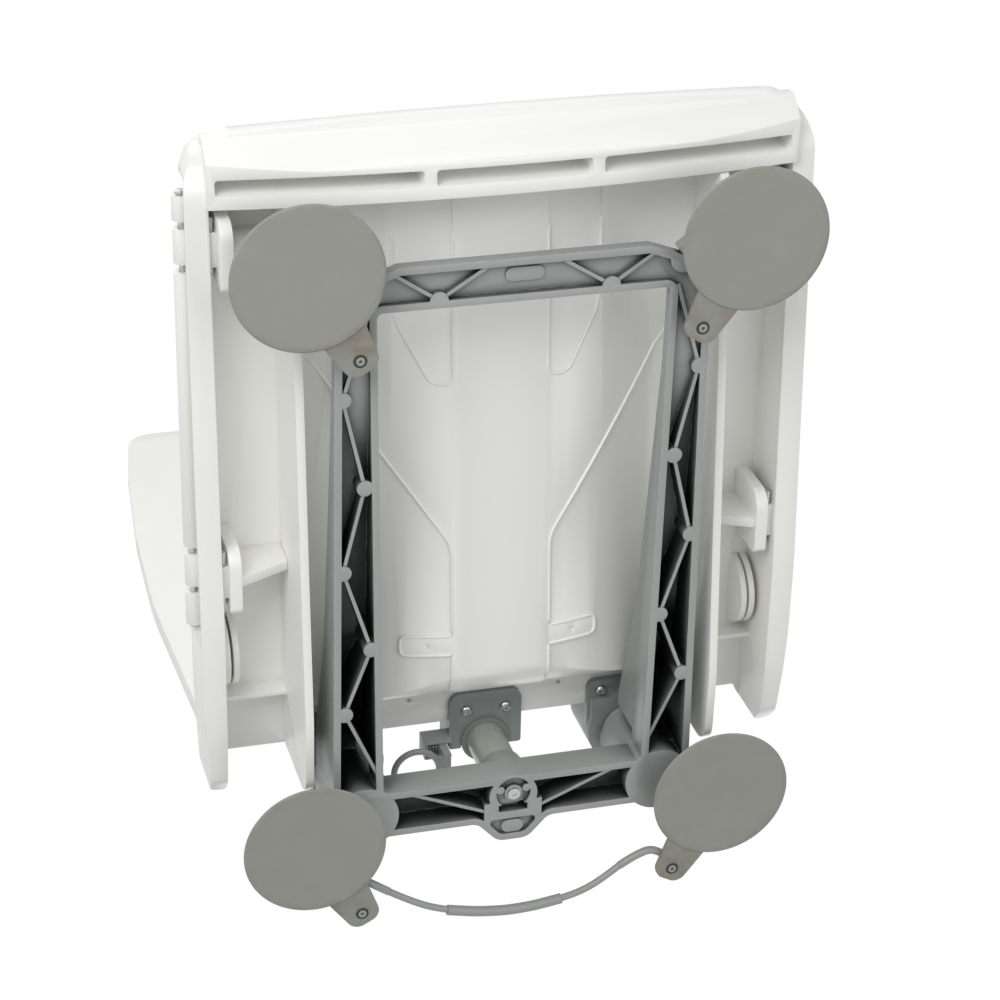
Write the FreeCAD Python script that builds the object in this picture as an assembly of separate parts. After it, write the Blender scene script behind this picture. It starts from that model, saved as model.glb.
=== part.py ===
import FreeCAD, Part
import math
import os

V = FreeCAD.Vector
X = V(1, 0, 0)
Y = V(0, 1, 0)
Z = V(0, 0, 1)

# All sizes are in millimetres.
# Z is up and Y points from the seat's front edge to the backrest.
# The origin is on the bath floor, midway between the four suction cups.

# Fits and clearances
RUN_GAP = 0.06        # radial gap of a shaft that turns or slides in a bore
AIR_GAP = 0.5         # gap between pieces that must not touch
SNUG_GAP = 0.3        # gap between pieces that sit side by side

# Suction cups
CUP_R = 50.0
CUP_X = 147.3
CUP_Y = 212.8
CUP_RIM_T = 2.6
CUP_DISH = 1.6
CUP_DOME_H = 10.0
CUP_NECK_R = 14.0
CUP_STUD_R = 4.0
TAB_REACH = 68.3      # cup centre to tab pin
TAB_ANGLE = 61.0      # degrees from the X axis towards the rear
TAB_END_R = 9.5
TAB_ROOT_R = 18.0
TAB_T = 3.4
TAB_Z = 0.8
PIN_R = 3.0

# Base frame casting
FRAME_Z = 22.5        # underside of the casting
WALL = 5.0
ROOF = 4.0
RIB_T = 2.4
RIB_BOSS_R = 5.6
FRAME_FRONT_Y = -205.0
FRAME_REAR_Y = 225.5
FRAME_FRONT_X = 126.0
FRAME_REAR_X = 129.5
WINDOW_FRONT_Y = -175.0
WINDOW_REAR_Y = 190.0
WINDOW_FRONT_X = 98.5
WINDOW_REAR_X = 94.0
FRONT_BAR_TOP = 31.5
REAR_BAR_TOP = 46.0
POST_X = 107.0
POST_Y = 208.0
SOCKET_R = 24.0
SOCKET_TOP = 84.0
EAR_R = 17.0
EAR_T = 9.0
COLUMN_Y = 205.0
BOSS_R = 16.5
BOSS_TOP = 57.0

# Telescopic columns
LIFT = 370.0          # travel of the seat
POST_R = 19.0
POST_T = 2.5
SLEEVE_R = 24.5
SLEEVE_T = 2.0
SLEEVE_Z = 98.0
SLEEVE_TOP = 556.0
SLEEVE_SINK = 8.0     # how far the sleeves reach into the yoke
POST_TOP = SLEEVE_TOP - SLEEVE_SINK
PISTON_R = 14.0
PISTON_T = 2.5
PISTON_DROP = 12.0    # end of the piston below the end of the posts
PISTON_TOP = POST_TOP - PISTON_DROP
DRIVE_TUBE_R = 18.0
DRIVE_TUBE_T = 2.0
BUSH_L = 34.0
SCREW_R = 6.0
SCREW_LOW = 140.0
NUT_L = 26.0
SCREW_PITCH = 12.0

# Seat
SEAT_TOP = 109.0
SKIN = 4.5
FLOOR_Z = SEAT_TOP - SKIN
SEAT_REAR_Y = 189.0
SEAT_FRONT_Y = -287.0
SEAT_SIDE_X = 212.0
SEAT_CORNER_R = 36.0
SEAT_WEB_X = 201.0
SEAT_WEB_T = 4.5
SIDE_BEAD_H = 4.5
NOSE_Z = 80.0
SIDE_LOW = ((-247.0, 71.0), (-37.0, 61.0), (60.0, 54.0), (150.0, 55.0), (186.0, 59.0))
NOSE_LIP = 3.0
NOSE_DISH = 5.0       # depth of the field behind the front lip
NOSE_FIELD_X = 188.0
FIN_X = 145.0
FIN_T = 5.6
BOWL_R = 247.6
BOWL_REF_Y = 100.0
BOWL_REF_Z = 62.0
BOWL_SLOPE = -0.0725
BOWL_REAR_Y = 158.0
BOWL_END_R = 45.0
BOWL_KEEL = 1.5       # how far the side profile clears the barrel
BOWL_T = 3.5
EMBOSS = 1.2
BEAM_Y0 = -260.5
BEAM_Y1 = -237.0
BEAM_LOW_Z = 52.0
BEAM_BOW_R = 1400.0
SLOT_Y0 = -257.0
SLOT_Y1 = -246.0
SLOT_MID_X = 52.0
SLOT_IN_X = 60.0
SLOT_OUT_X = 193.0
SLOT_TOP = 84.0       # under the bowl
SLOT_SIDE_TOP = 90.0
NOSE_CORNER_R = 18.0
BRACKET_WALL = 5.5    # wall of the post brackets round the sleeves
BRACKET_TOP = 140.0

# Side flaps
HINGE_X = 211.0
HINGE_Z = 88.5
KNUCKLE_R = 6.2
ROD_R = 2.5
FLAP_LEAN = 20.0
FLAP_T = 4.6
FLAP_W = 148.0
FLAP_FRONT_Y = -241.0
FLAP_REAR_Y = 72.0
HINGE_Y = (-206.0, 30.0)
HINGE_GAP = 36.0
CLIP_ARM = 24.0
CLIP_PLATE = 47.0
CLIP_X = 191.5        # outer face of the clip's plate
CLIP_PLATE_T = 8.5
CLIP_LOW_Z = 58.0
CLIP_PIN_R = 2.2

# Backrest
BACK_Y = 176.0
BACK_T = 4.0
BACK_RIM = 9.0
BACK_LOW_Z = 114.0
SADDLE_X = 34.6
STRAP_Z = (200.0, 330.0, 460.0)

# Drive
WHEEL_TEETH = 24
PINION_TEETH = 22
MODULE = 1.5
GEAR_T = 8.0
YOKE_LOW = SLEEVE_TOP - SLEEVE_SINK
YOKE_FLOOR = 18.0     # thickness of the yoke under the gears
GEAR_Z = YOKE_LOW + YOKE_FLOOR
GEAR_HEADROOM = 7.0   # from the gears to the underside of the cap
YOKE_CAP_T = 3.0
YOKE_TOP = GEAR_Z + GEAR_T + GEAR_HEADROOM + YOKE_CAP_T
MOTOR_R = 16.0
MOTOR_L = 78.0
MOTOR_X = MODULE * (WHEEL_TEETH + PINION_TEETH) / 2.0
BACK_OVER = 6.0       # how far the backrest stands above the yoke
BACK_TOP_Z = YOKE_TOP + BACK_OVER

# Housing of the drive unit
HOUSE_X = 71.0
HOUSE_Y0 = 186.0
HOUSE_Y1 = 240.0
HOUSE_H = 118.0
HOUSE_Z = YOKE_LOW - HOUSE_H
HOUSE_T = 2.6
FRONT_T = 2.4
SOCKET_AT = (46.0, HOUSE_Z + 25.0)

# Column release with its finger ring
RING_R = 16.6
RING_BAR_R = 2.3
RING_AT = (-56.0, 213.0, 80.0)
LATCH_Z = 101.6
LATCH_R = 1.6
LATCH_BACK_X = -36.5
CAGE_X = -47.0
CAGE_T = 1.8
SPRING_R = 3.2
SPRING_WIRE_R = 0.4
SPRING_TURNS = 4

# Cord between the tabs of the two rear cups
CORD_R = 2.5
CORD_END_R = 2.9
GRIP_R = 3.75
EYE_R = 7.0
EYE_T = 4.0
CORD_Z = TAB_Z + 1.0 + TAB_T + CORD_END_R + SNUG_GAP


# Shape helpers
def box(x0, x1, y0, y1, z0, z1):
    """Return an axis-aligned block between the given limits."""
    return Part.makeBox(x1 - x0, y1 - y0, z1 - z0, V(x0, y0, z0))


def rod(r, start, length, axis=Z):
    """Return a round bar that begins at start and runs along axis."""
    return Part.makeCylinder(r, length, V(*start), axis)


def tube(r_out, r_in, start, length, axis=Z):
    """Return a round tube that begins at start and runs along axis."""
    return rod(r_out, start, length, axis).cut(rod(r_in, start, length, axis))


def fuse(shapes):
    """Return one shape made of all the given ones."""
    first = shapes[0]
    rest = list(shapes[1:])
    if not rest:
        return first
    return first.multiFuse(rest).removeSplitter()


def flip(shape):
    """Return the mirror image on the other side of the YZ plane."""
    return shape.mirror(V(0, 0, 0), X)


def place_xy(u, v, w):
    """Map profile coordinates to the XY plane."""
    return V(u, v, w)


def place_yz(u, v, w):
    """Map profile coordinates to the YZ plane."""
    return V(w, u, v)


def place_xz(u, v, w):
    """Map profile coordinates to the XZ plane."""
    return V(u, w, v)


def outline(points, place, w):
    """Return a closed wire through points (u, v, corner radius)."""
    count = len(points)
    starts = []
    ends = []
    mids = []
    for i in range(count):
        p = V(points[i][0], points[i][1], 0)
        r = points[i][2] if len(points[i]) > 2 else 0.0
        a = V(points[i - 1][0], points[i - 1][1], 0) - p
        b = V(points[(i + 1) % count][0], points[(i + 1) % count][1], 0) - p
        a.normalize()
        b.normalize()
        half = a.getAngle(b) / 2.0
        if r <= 0 or half < 1e-6 or abs(half - math.pi / 2) < 1e-4:
            starts.append(p)
            ends.append(p)
            mids.append(None)
            continue
        reach = r / math.tan(half)
        way = a + b
        way.normalize()
        centre = p + way * (r / math.sin(half))
        starts.append(p + a * reach)
        ends.append(p + b * reach)
        mids.append(centre - way * r)
    edges = []
    for i in range(count):
        if mids[i] is not None:
            arc = Part.Arc(
                place(starts[i].x, starts[i].y, w),
                place(mids[i].x, mids[i].y, w),
                place(ends[i].x, ends[i].y, w),
            )
            edges.append(arc.toShape())
        p = ends[i]
        q = starts[(i + 1) % count]
        if (q - p).Length > 1e-5:
            edges.append(Part.makeLine(place(p.x, p.y, w), place(q.x, q.y, w)))
    return Part.Wire(edges)


def slab(points, z0, z1):
    """Extrude an XY outline from z0 to z1."""
    face = Part.Face(outline(points, place_xy, z0))
    return face.extrude(V(0, 0, z1 - z0))


def side_slab(points, x0, x1):
    """Extrude a YZ outline from x0 to x1."""
    face = Part.Face(outline(points, place_yz, x0))
    return face.extrude(V(x1 - x0, 0, 0))


def both_sides(half):
    """Return the closed outline made of half and its mirror image."""
    other = []
    for p in reversed(half):
        if abs(p[0]) > 1e-6:
            other.append((-p[0],) + tuple(p[1:]))
    return list(half) + other


def strip(a, b, width, z0, z1):
    """Return a straight rib between two XY points."""
    start = V(a[0], a[1], 0)
    way = V(b[0], b[1], 0) - start
    length = way.Length
    rib = box(0, length, -width / 2.0, width / 2.0, z0, z1)
    rib.rotate(V(0, 0, 0), Z, math.degrees(math.atan2(way.y, way.x)))
    rib.translate(start)
    return rib


def revolve(points, centre):
    """Turn a closed (radius, z) profile about a vertical axis."""
    wire = outline(points, place_xz, 0.0)
    body = Part.Face(wire).revolve(V(0, 0, 0), Z, 360)
    body.translate(V(*centre))
    return body


def pan_screw(at, length, r, way=Z, recess=True):
    """Return a pan head screw; its head rests at the point and faces way."""
    head_r = r * 1.9
    head_h = r * 1.2
    head = rod(head_r, (0, 0, 0), head_h)
    rim = Part.makeCone(head_r, head_r * 0.72, head_h * 0.35, V(0, 0, head_h), Z)
    screw = fuse([head, rim, rod(r, (0, 0, -length), length)])
    if recess:
        top = head_h * 1.35
        for turn in (0.0, 90.0):
            slot = box(-head_r * 0.55, head_r * 0.55, -r * 0.16, r * 0.16, top - r * 0.5, top + 1.0)
            slot.rotate(V(0, 0, 0), Z, turn)
            screw = screw.cut(slot)
    screw.Placement = FreeCAD.Placement(V(*at), FreeCAD.Rotation(Z, way))
    return screw


def rounded_path(points):
    """Return straight runs through the points, joined by tangent arcs."""
    spots = [V(*p) for p in points]
    edges = []
    radii = []
    at = spots[0]
    for i in range(1, len(spots) - 1):
        back = spots[i - 1] - spots[i]
        ahead = spots[i + 1] - spots[i]
        reach = 0.45 * min(back.Length, ahead.Length)
        turn = math.pi - back.getAngle(ahead)
        back.normalize()
        ahead.normalize()
        radius = reach / math.tan(turn / 2.0)
        way = back + ahead
        way.normalize()
        mid = spots[i] + way * (radius / math.cos(turn / 2.0) - radius)
        start = spots[i] + back * reach
        end = spots[i] + ahead * reach
        edges.append(Part.LineSegment(at, start).toShape())
        edges.append(Part.Arc(start, mid, end).toShape())
        radii.append(round(radius, 1))
        at = end
    edges.append(Part.LineSegment(at, spots[-1]).toShape())
    path = Part.Wire(edges)
    print("  path length", round(path.Length, 1), "bend radii", radii)
    return path


def pipe(path, r):
    """Sweep a round section along a path."""
    first = path.OrderedEdges[0]
    start = first.valueAt(first.FirstParameter)
    way = first.tangentAt(first.FirstParameter)
    ring = Part.Wire(Part.makeCircle(r, start, way))
    return path.makePipeShell([ring], True, False)


def save(name, shape):
    """Write one node as a STEP file."""
    shape.exportStep("parts/" + name + ".step")
    print(name, round(shape.Volume), len(shape.Solids), shape.isValid())


# Suction cups
def cup_centres():
    """Return the names and centres of the four cups."""
    return {
        "front_left": (-CUP_X, -CUP_Y),
        "front_right": (CUP_X, -CUP_Y),
        "rear_left": (-CUP_X, CUP_Y),
        "rear_right": (CUP_X, CUP_Y),
    }


def tab_direction(side):
    """Return the unit vector from a cup towards its tab's pin."""
    a = math.radians(TAB_ANGLE)
    return V(-side * math.cos(a), math.sin(a), 0)


def tab_pin_at(centre):
    """Return the XY point of the tab's pin of one cup."""
    side = 1.0 if centre[0] > 0 else -1.0
    way = tab_direction(side)
    return (centre[0] + way.x * TAB_REACH, centre[1] + way.y * TAB_REACH)


def make_cup(centre):
    """Return one rubber cup with its release tab."""
    profile = [
        (0.0, CUP_DISH, 0),
        (CUP_R * 0.5, CUP_DISH * 0.75, 0),
        (CUP_R * 0.9, 0.0, 0),
        (CUP_R - 1.2, 0.0, 0),
        (CUP_R, 0.9, 0),
        (CUP_R - 1.0, CUP_RIM_T, 0),
        (CUP_R * 0.6, CUP_RIM_T + 2.6, 20.0),
        (CUP_NECK_R + 3.0, CUP_DOME_H, 3.0),
        (CUP_NECK_R, CUP_DOME_H + 2.5, 2.0),
        (CUP_NECK_R, FRAME_Z, 0),
        (0.0, FRAME_Z, 0),
    ]
    disc = revolve(profile, (0, 0, 0))
    tab = slab(
        [
            (CUP_R * 0.62, -TAB_ROOT_R, 0),
            (TAB_REACH + TAB_END_R, -TAB_END_R - 1.5, TAB_END_R - 0.5),
            (TAB_REACH + TAB_END_R, TAB_END_R + 1.5, TAB_END_R - 0.5),
            (CUP_R * 0.62, TAB_ROOT_R, 0),
        ],
        TAB_Z + 1.0,
        TAB_Z + 1.0 + TAB_T,
    )
    cup = disc.fuse(tab).removeSplitter()
    cup = cup.cut(rod(PIN_R, (TAB_REACH, 0, 0), 12.0))
    cup = cup.cut(rod(CUP_STUD_R, (0, 0, CUP_DOME_H - 4.0), 40.0))
    side = 1.0 if centre[0] > 0 else -1.0
    way = tab_direction(side)
    cup.rotate(V(0, 0, 0), Z, math.degrees(math.atan2(way.y, way.x)))
    cup.translate(V(centre[0], centre[1], 0))
    return cup


def make_cup_studs():
    """Return the four threaded studs with their nuts."""
    studs = []
    for centre in cup_centres().values():
        low = (centre[0], centre[1], CUP_DOME_H - 4.0)
        top = FRAME_Z + EAR_T
        shank = rod(CUP_STUD_R, low, top + 7.0 - low[2])
        hexagon = []
        for i in range(6):
            a = math.radians(60 * i)
            hexagon.append((centre[0] + 7.5 * math.cos(a), centre[1] + 7.5 * math.sin(a), 0))
        nut = slab(hexagon, top, top + 5.0)
        studs.append(shank.fuse(nut).removeSplitter())
    return Part.makeCompound(studs)


def make_tab_pins():
    """Return the four flanged pins that sit in the release tabs."""
    pins = []
    low = TAB_Z + 1.0
    for centre in cup_centres().values():
        x, y = tab_pin_at(centre)
        eye_t = EYE_T if centre[1] > 0 else 0.0
        shank = rod(PIN_R, (x, y, low - 0.8), TAB_T + eye_t + 1.6)
        flange = rod(PIN_R + 1.8, (x, y, low + TAB_T + eye_t), 1.2)
        eye = rod(1.1, (x, y, low - 1.0), 2.4)
        pins.append(shank.fuse(flange).removeSplitter().cut(eye))
    return Part.makeCompound(pins)


# Base frame
def frame_outline():
    """Return half of the frame's outer outline, front to rear."""
    return [
        (-84.0, FRAME_FRONT_Y, 8.0),
        (84.0, FRAME_FRONT_Y, 8.0),
        (FRAME_FRONT_X - 10.0, FRAME_FRONT_Y + 12.0, 14.0),
        (FRAME_FRONT_X, FRAME_FRONT_Y + 34.0, 20.0),
        (FRAME_REAR_X, POST_Y - 18.0, 6.0),
        (FRAME_REAR_X - 1.0, FRAME_REAR_Y, 16.0),
        (26.0, FRAME_REAR_Y, 10.0),
        (11.0, FRAME_REAR_Y + 16.5, 12.0),
        (-11.0, FRAME_REAR_Y + 16.5, 12.0),
        (-26.0, FRAME_REAR_Y, 10.0),
        (-FRAME_REAR_X + 1.0, FRAME_REAR_Y, 16.0),
        (-FRAME_REAR_X, POST_Y - 18.0, 6.0),
        (-FRAME_FRONT_X, FRAME_FRONT_Y + 34.0, 20.0),
        (-FRAME_FRONT_X + 10.0, FRAME_FRONT_Y + 12.0, 14.0),
    ]


def window_outline(grow):
    """Return the window's outline, moved outwards by grow."""
    return [
        (-WINDOW_FRONT_X - grow, WINDOW_FRONT_Y - grow, 4.0 + grow),
        (WINDOW_FRONT_X + grow, WINDOW_FRONT_Y - grow, 4.0 + grow),
        (WINDOW_REAR_X + grow, WINDOW_REAR_Y + grow, 4.0 + grow),
        (-WINDOW_REAR_X - grow, WINDOW_REAR_Y + grow, 4.0 + grow),
    ]


def arm_profile(drop):
    """Return the side view of the frame's arms, lowered by drop."""
    low = FRAME_Z - 30.0
    return [
        (FRAME_FRONT_Y - 30.0, low, 0),
        (FRAME_REAR_Y + 30.0, low, 0),
        (FRAME_REAR_Y + 30.0, SOCKET_TOP - 3.0 - drop, 0),
        (170.0, SOCKET_TOP - 3.0 - drop, 10.0),
        (77.0, 54.5 - drop, 120.0),
        (-120.0, FRONT_BAR_TOP - drop, 90.0),
        (FRAME_FRONT_Y - 30.0, FRONT_BAR_TOP - drop, 0),
    ]


def make_base_frame():
    """Return the ribbed channel casting that carries the columns."""
    outer = outline(frame_outline(), place_xy, FRAME_Z)
    inner_wall = outer.makeOffset2D(-WALL)
    plan = Part.Face(outer).extrude(V(0, 0, 80))
    plan = plan.cut(slab(window_outline(0.0), FRAME_Z - 1.0, FRAME_Z + 90.0))
    arms = side_slab(arm_profile(0.0), -200.0, 200.0)
    rear_cut = box(-POST_X + 6.0, POST_X - 6.0, WINDOW_REAR_Y - 12.0, 300.0, REAR_BAR_TOP, 200.0)
    body = plan.common(arms).cut(rear_cut)
    # The pocket that turns the ring into a channel, open downwards
    pocket = Part.Face(inner_wall).extrude(V(0, 0, 80))
    pocket = pocket.cut(slab(window_outline(WALL), FRAME_Z - 1.0, FRAME_Z + 90.0))
    pocket.translate(V(0, 0, -0.01))
    pocket = pocket.common(side_slab(arm_profile(ROOF), -200.0, 200.0))
    lowered = box(-POST_X - 40.0, POST_X + 40.0, WINDOW_REAR_Y - 1.0, 300.0, REAR_BAR_TOP - ROOF, 200.0)
    pocket = pocket.cut(lowered)
    for side in (-1.0, 1.0):
        pocket = pocket.cut(rod(SOCKET_R, (side * POST_X, POST_Y, 0), 120.0))
        pocket = pocket.cut(rod(RIB_BOSS_R + 4.0, (side * 107.0, -194.0, 0), 120.0))
    pocket = pocket.cut(rod(BOSS_R + 1.0, (0, COLUMN_Y, 0), 120.0))
    pocket = pocket.cut(box(-21.0, 21.0, COLUMN_Y + 5.0, 260.0, 0.0, 120.0))
    body = body.cut(pocket)
    solids = [body]
    # Sockets for the guide posts and the boss of the lifting column
    for side in (-1.0, 1.0):
        solids.append(rod(SOCKET_R, (side * POST_X, POST_Y, FRAME_Z), SOCKET_TOP - FRAME_Z))
    solids.append(rod(BOSS_R, (0, COLUMN_Y, FRAME_Z), BOSS_TOP - FRAME_Z))
    # Ears that reach out to the suction cups
    for side in (-1.0, 1.0):
        for centre_y, root in ((-CUP_Y, (112.0, -188.0)), (CUP_Y, (POST_X + 6.0, POST_Y))):
            ear = strip(root, (side * side * CUP_X, centre_y), 2 * EAR_R, FRAME_Z, FRAME_Z + EAR_T)
            if side < 0:
                ear = flip(ear)
            solids.append(ear)
            solids.append(rod(EAR_R, (side * CUP_X, centre_y, FRAME_Z), EAR_T))
    body = fuse(solids)
    body = body.common(slab([(-170, -240, 0), (170, -240, 0), (170, 250, 0), (-170, 250, 0)], FRAME_Z, 200))
    # Blind bores of the sockets and of the centre boss
    for side in (-1.0, 1.0):
        body = body.cut(rod(POST_R, (side * POST_X, POST_Y, FRAME_Z + 5.0), 120.0))
        for centre_y in (-CUP_Y, CUP_Y):
            body = body.cut(rod(CUP_STUD_R, (side * CUP_X, centre_y, 0), 60.0))
    body = body.cut(rod(PISTON_R, (0, COLUMN_Y, FRAME_Z + 9.0), 60.0))
    # Ring boss in a round recess under the column, with pads and a slot
    recess = rod(12.5, (0, COLUMN_Y - 2.0, FRAME_Z - 1.0), 4.5)
    recess = recess.cut(rod(6.4, (0, COLUMN_Y - 2.0, FRAME_Z - 1.0), 6.0))
    for side in (-1.0, 1.0):
        recess = recess.cut(rod(3.0, (side * 9.5, COLUMN_Y - 5.0, FRAME_Z - 1.0), 6.0))
    body = body.cut(recess)
    body = body.cut(rod(2.6, (0, COLUMN_Y - 2.0, 0), 60.0))
    body = body.cut(rod(4.4, (0, COLUMN_Y - 2.0, FRAME_Z - 1.0), 1.6))
    body = body.cut(box(-10.6, 10.6, COLUMN_Y + 7.5, COLUMN_Y + 13.0, FRAME_Z - 1.0, FRAME_Z + 12.0))
    lobe = slab(
        [(-20.0, 224.0, 3.0), (20.0, 224.0, 3.0), (9.0, 237.0, 7.0), (-9.0, 237.0, 7.0)],
        FRAME_Z - 1.0,
        FRAME_Z + 4.0,
    )
    return body.cut(lobe)


def rib_path_side():
    """Return the zig-zag points of one side bar, front to rear."""
    return [
        (103.5, -176.0),
        (121.0, -116.0),
        (106.5, -51.0),
        (121.5, 11.0),
        (102.3, 72.0),
        (121.0, 121.5),
        (98.2, 173.0),
    ]


def add_ribs(body):
    """Add the zig-zag ribs and their half-round bosses to the frame."""
    outer = outline(frame_outline(), place_xy, FRAME_Z)
    plan = Part.Face(outer.makeOffset2D(-WALL + 1.5)).extrude(V(0, 0, 80))
    plan = plan.cut(slab(window_outline(WALL - 1.5), FRAME_Z - 1.0, FRAME_Z + 90.0))
    room = plan.common(side_slab(arm_profile(ROOF - 1.5), -200.0, 200.0))
    rear = box(-200, 200, WINDOW_REAR_Y - 1.0, 300.0, REAR_BAR_TOP - ROOF + 1.5, 200.0)
    room = room.cut(rear)
    low = FRAME_Z + 1.0
    high = FRAME_Z + 70.0
    ribs = []
    path = rib_path_side()
    for side in (-1.0, 1.0):
        points = [(side * p[0], p[1]) for p in path]
        for i in range(len(points) - 1):
            ribs.append(strip(points[i], points[i + 1], RIB_T, low, high))
        for p in points[1:-1]:
            ribs.append(rod(RIB_BOSS_R, (p[0], p[1], FRAME_Z), 70.0))
        # Front bar: a V from the wall boss to the outer wall
        boss = (side * 57.6, WINDOW_FRONT_Y - WALL)
        ribs.append(rod(RIB_BOSS_R + 0.6, (boss[0], boss[1], FRAME_Z), 40.0))
        ribs.append(strip(boss, (side * 87.0, FRAME_FRONT_Y + WALL), RIB_T, low, high))
        ribs.append(strip(boss, (side * 26.0, FRAME_FRONT_Y + WALL), RIB_T, low, high))
        # Rear bar: one long rib towards the centre boss
        ribs.append(strip((side * 76.0, WINDOW_REAR_Y + 3.0), (side * 19.0, 217.0), RIB_T, low, high))
    # Plain oval pad on the roof of the front bar
    pad = [(-13.0, -197.0, 4.4), (13.0, -197.0, 4.4), (13.0, -187.5, 4.4), (-13.0, -187.5, 4.4)]
    ribs.append(slab(pad, FRONT_BAR_TOP - ROOF - 1.2, FRONT_BAR_TOP - ROOF + 1.0))
    zigzag = fuse(ribs).common(room)
    return fuse([body, zigzag])


def make_frame_plug():
    """Return the oval plug in the pocket of the frame's rear lobe."""
    plan = [(-8.0, 226.2, 4.9), (8.0, 226.2, 4.9), (8.0, 236.2, 4.9), (-8.0, 236.2, 4.9)]
    return slab(plan, FRAME_Z + 0.6, FRAME_Z + 4.0)


# Columns
def make_guide_post(side):
    """Return one fixed guide post, a tube set in the frame's socket."""
    z0 = FRAME_Z + 5.0
    return tube(POST_R, POST_R - POST_T, (side * POST_X, POST_Y, z0), POST_TOP - z0)


def make_post_cap(side):
    """Return the slide ring on top of one guide post."""
    bore = SLEEVE_R - SLEEVE_T
    ring = rod(bore - RUN_GAP, (side * POST_X, POST_Y, POST_TOP), 3.0)
    plug = rod(POST_R - POST_T, (side * POST_X, POST_Y, POST_TOP - BUSH_L), BUSH_L)
    skirt = tube(bore - RUN_GAP, POST_R, (side * POST_X, POST_Y, POST_TOP - BUSH_L), BUSH_L)
    hollow = rod(POST_R - POST_T - 2.5, (side * POST_X, POST_Y, POST_TOP - BUSH_L), BUSH_L)
    return fuse([ring, plug, skirt]).cut(hollow)


def make_sleeve(side):
    """Return one outer guide sleeve that slides over its post."""
    at = (side * POST_X, POST_Y, SLEEVE_Z)
    return tube(SLEEVE_R, SLEEVE_R - SLEEVE_T, at, SLEEVE_TOP - SLEEVE_Z)


def make_sleeve_bush(side):
    """Return the slide bush at the lower end of one sleeve."""
    at = (side * POST_X, POST_Y, SLEEVE_Z)
    return tube(SLEEVE_R - SLEEVE_T, POST_R + RUN_GAP, at, BUSH_L)


def make_piston():
    """Return the inner tube of the lifting column."""
    z0 = FRAME_Z + 9.0
    return tube(PISTON_R, PISTON_R - PISTON_T, (0, COLUMN_Y, z0), PISTON_TOP - z0)


def make_piston_plug():
    """Return the threaded plug that closes the piston's foot."""
    z0 = FRAME_Z + 9.0
    plug = rod(PISTON_R - PISTON_T, (0, COLUMN_Y, z0), 22.0)
    return plug.cut(rod(2.6, (0, COLUMN_Y - 2.0, z0), 18.0))


def make_foot_screw():
    """Return the socket screw that holds the column from below."""
    y = COLUMN_Y - 2.0
    head = rod(4.4, (0, y, FRAME_Z + 0.6 - 2.4), 2.4)
    head = head.cut(rod(2.0, (0, y, FRAME_Z - 3.0), 2.6))
    shank = rod(2.6, (0, y, FRAME_Z), 25.0)
    return head.fuse(shank).removeSplitter()


def make_drive_nut():
    """Return the nut that is set in the top of the piston."""
    z0 = PISTON_TOP - NUT_L
    body = rod(PISTON_R - PISTON_T, (0, COLUMN_Y, z0), NUT_L)
    flange = rod(DRIVE_TUBE_R - DRIVE_TUBE_T - RUN_GAP, (0, COLUMN_Y, PISTON_TOP), 6.0)
    bore = rod(SCREW_R + RUN_GAP, (0, COLUMN_Y, z0 - 1.0), NUT_L + 10.0)
    return body.fuse(flange).removeSplitter().cut(bore)


def make_drive_tube():
    """Return the outer tube of the lifting column."""
    at = (0, COLUMN_Y, SLEEVE_Z + 6.0)
    return tube(DRIVE_TUBE_R, DRIVE_TUBE_R - DRIVE_TUBE_T, at, SLEEVE_TOP - SLEEVE_Z - 6.0)


def make_drive_collar():
    """Return the wiper collar at the lower end of the drive tube."""
    z0 = SLEEVE_Z
    low = tube(DRIVE_TUBE_R, PISTON_R + RUN_GAP, (0, COLUMN_Y, z0), 6.0)
    spigot = tube(DRIVE_TUBE_R - DRIVE_TUBE_T, PISTON_R + RUN_GAP, (0, COLUMN_Y, z0 + 5.0), 25.0)
    hole = rod(1.7, (-DRIVE_TUBE_R - 1.0, COLUMN_Y, 101.6), 3.6, X)
    return low.fuse(spigot).removeSplitter().cut(hole)


def gear(teeth, z0, height, bore, centre):
    """Return a straight toothed gear with the given bore."""
    pitch_r = MODULE * teeth / 2.0
    root_r = pitch_r - 1.25 * MODULE
    tip_r = pitch_r + 0.95 * MODULE
    step = 2.0 * math.pi / teeth
    points = []
    for i in range(teeth):
        a = i * step
        for share, r in ((-0.29, root_r), (-0.11, tip_r), (0.11, tip_r), (0.29, root_r)):
            angle = a + share * step
            points.append((centre[0] + r * math.cos(angle), centre[1] + r * math.sin(angle), 0))
    body = slab(points, z0, z0 + height)
    return body.cut(rod(bore, (centre[0], centre[1], z0 - 1.0), height + 2.0))


def make_lead_screw():
    """Return the lifting screw with its rounded thread."""
    top = YOKE_TOP - 5.0
    core = rod(SCREW_R - 0.9, (0, COLUMN_Y, SCREW_LOW), GEAR_Z - 14.0 - SCREW_LOW)
    turns = []
    z = SCREW_LOW + 4.0
    while z < GEAR_Z - 20.0:
        turns.append(rod(SCREW_R, (0, COLUMN_Y, z), SCREW_PITCH * 0.5))
        z += SCREW_PITCH
    neck = rod(5.0, (0, COLUMN_Y, GEAR_Z - 15.0), top - GEAR_Z + 15.0)
    flange = rod(8.0, (0, COLUMN_Y, GEAR_Z - 3.0), 3.0)
    return fuse([core, neck, flange] + turns)


def make_wheel():
    """Return the gear wheel on the lifting screw."""
    wheel = gear(WHEEL_TEETH, GEAR_Z, GEAR_T, 5.0, (0.0, COLUMN_Y))
    for i in range(5):
        a = math.radians(72 * i)
        x = 10.5 * math.cos(a)
        y = COLUMN_Y + 10.5 * math.sin(a)
        wheel = wheel.cut(rod(2.8, (x, y, GEAR_Z - 1.0), GEAR_T + 2.0))
    return wheel


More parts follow.
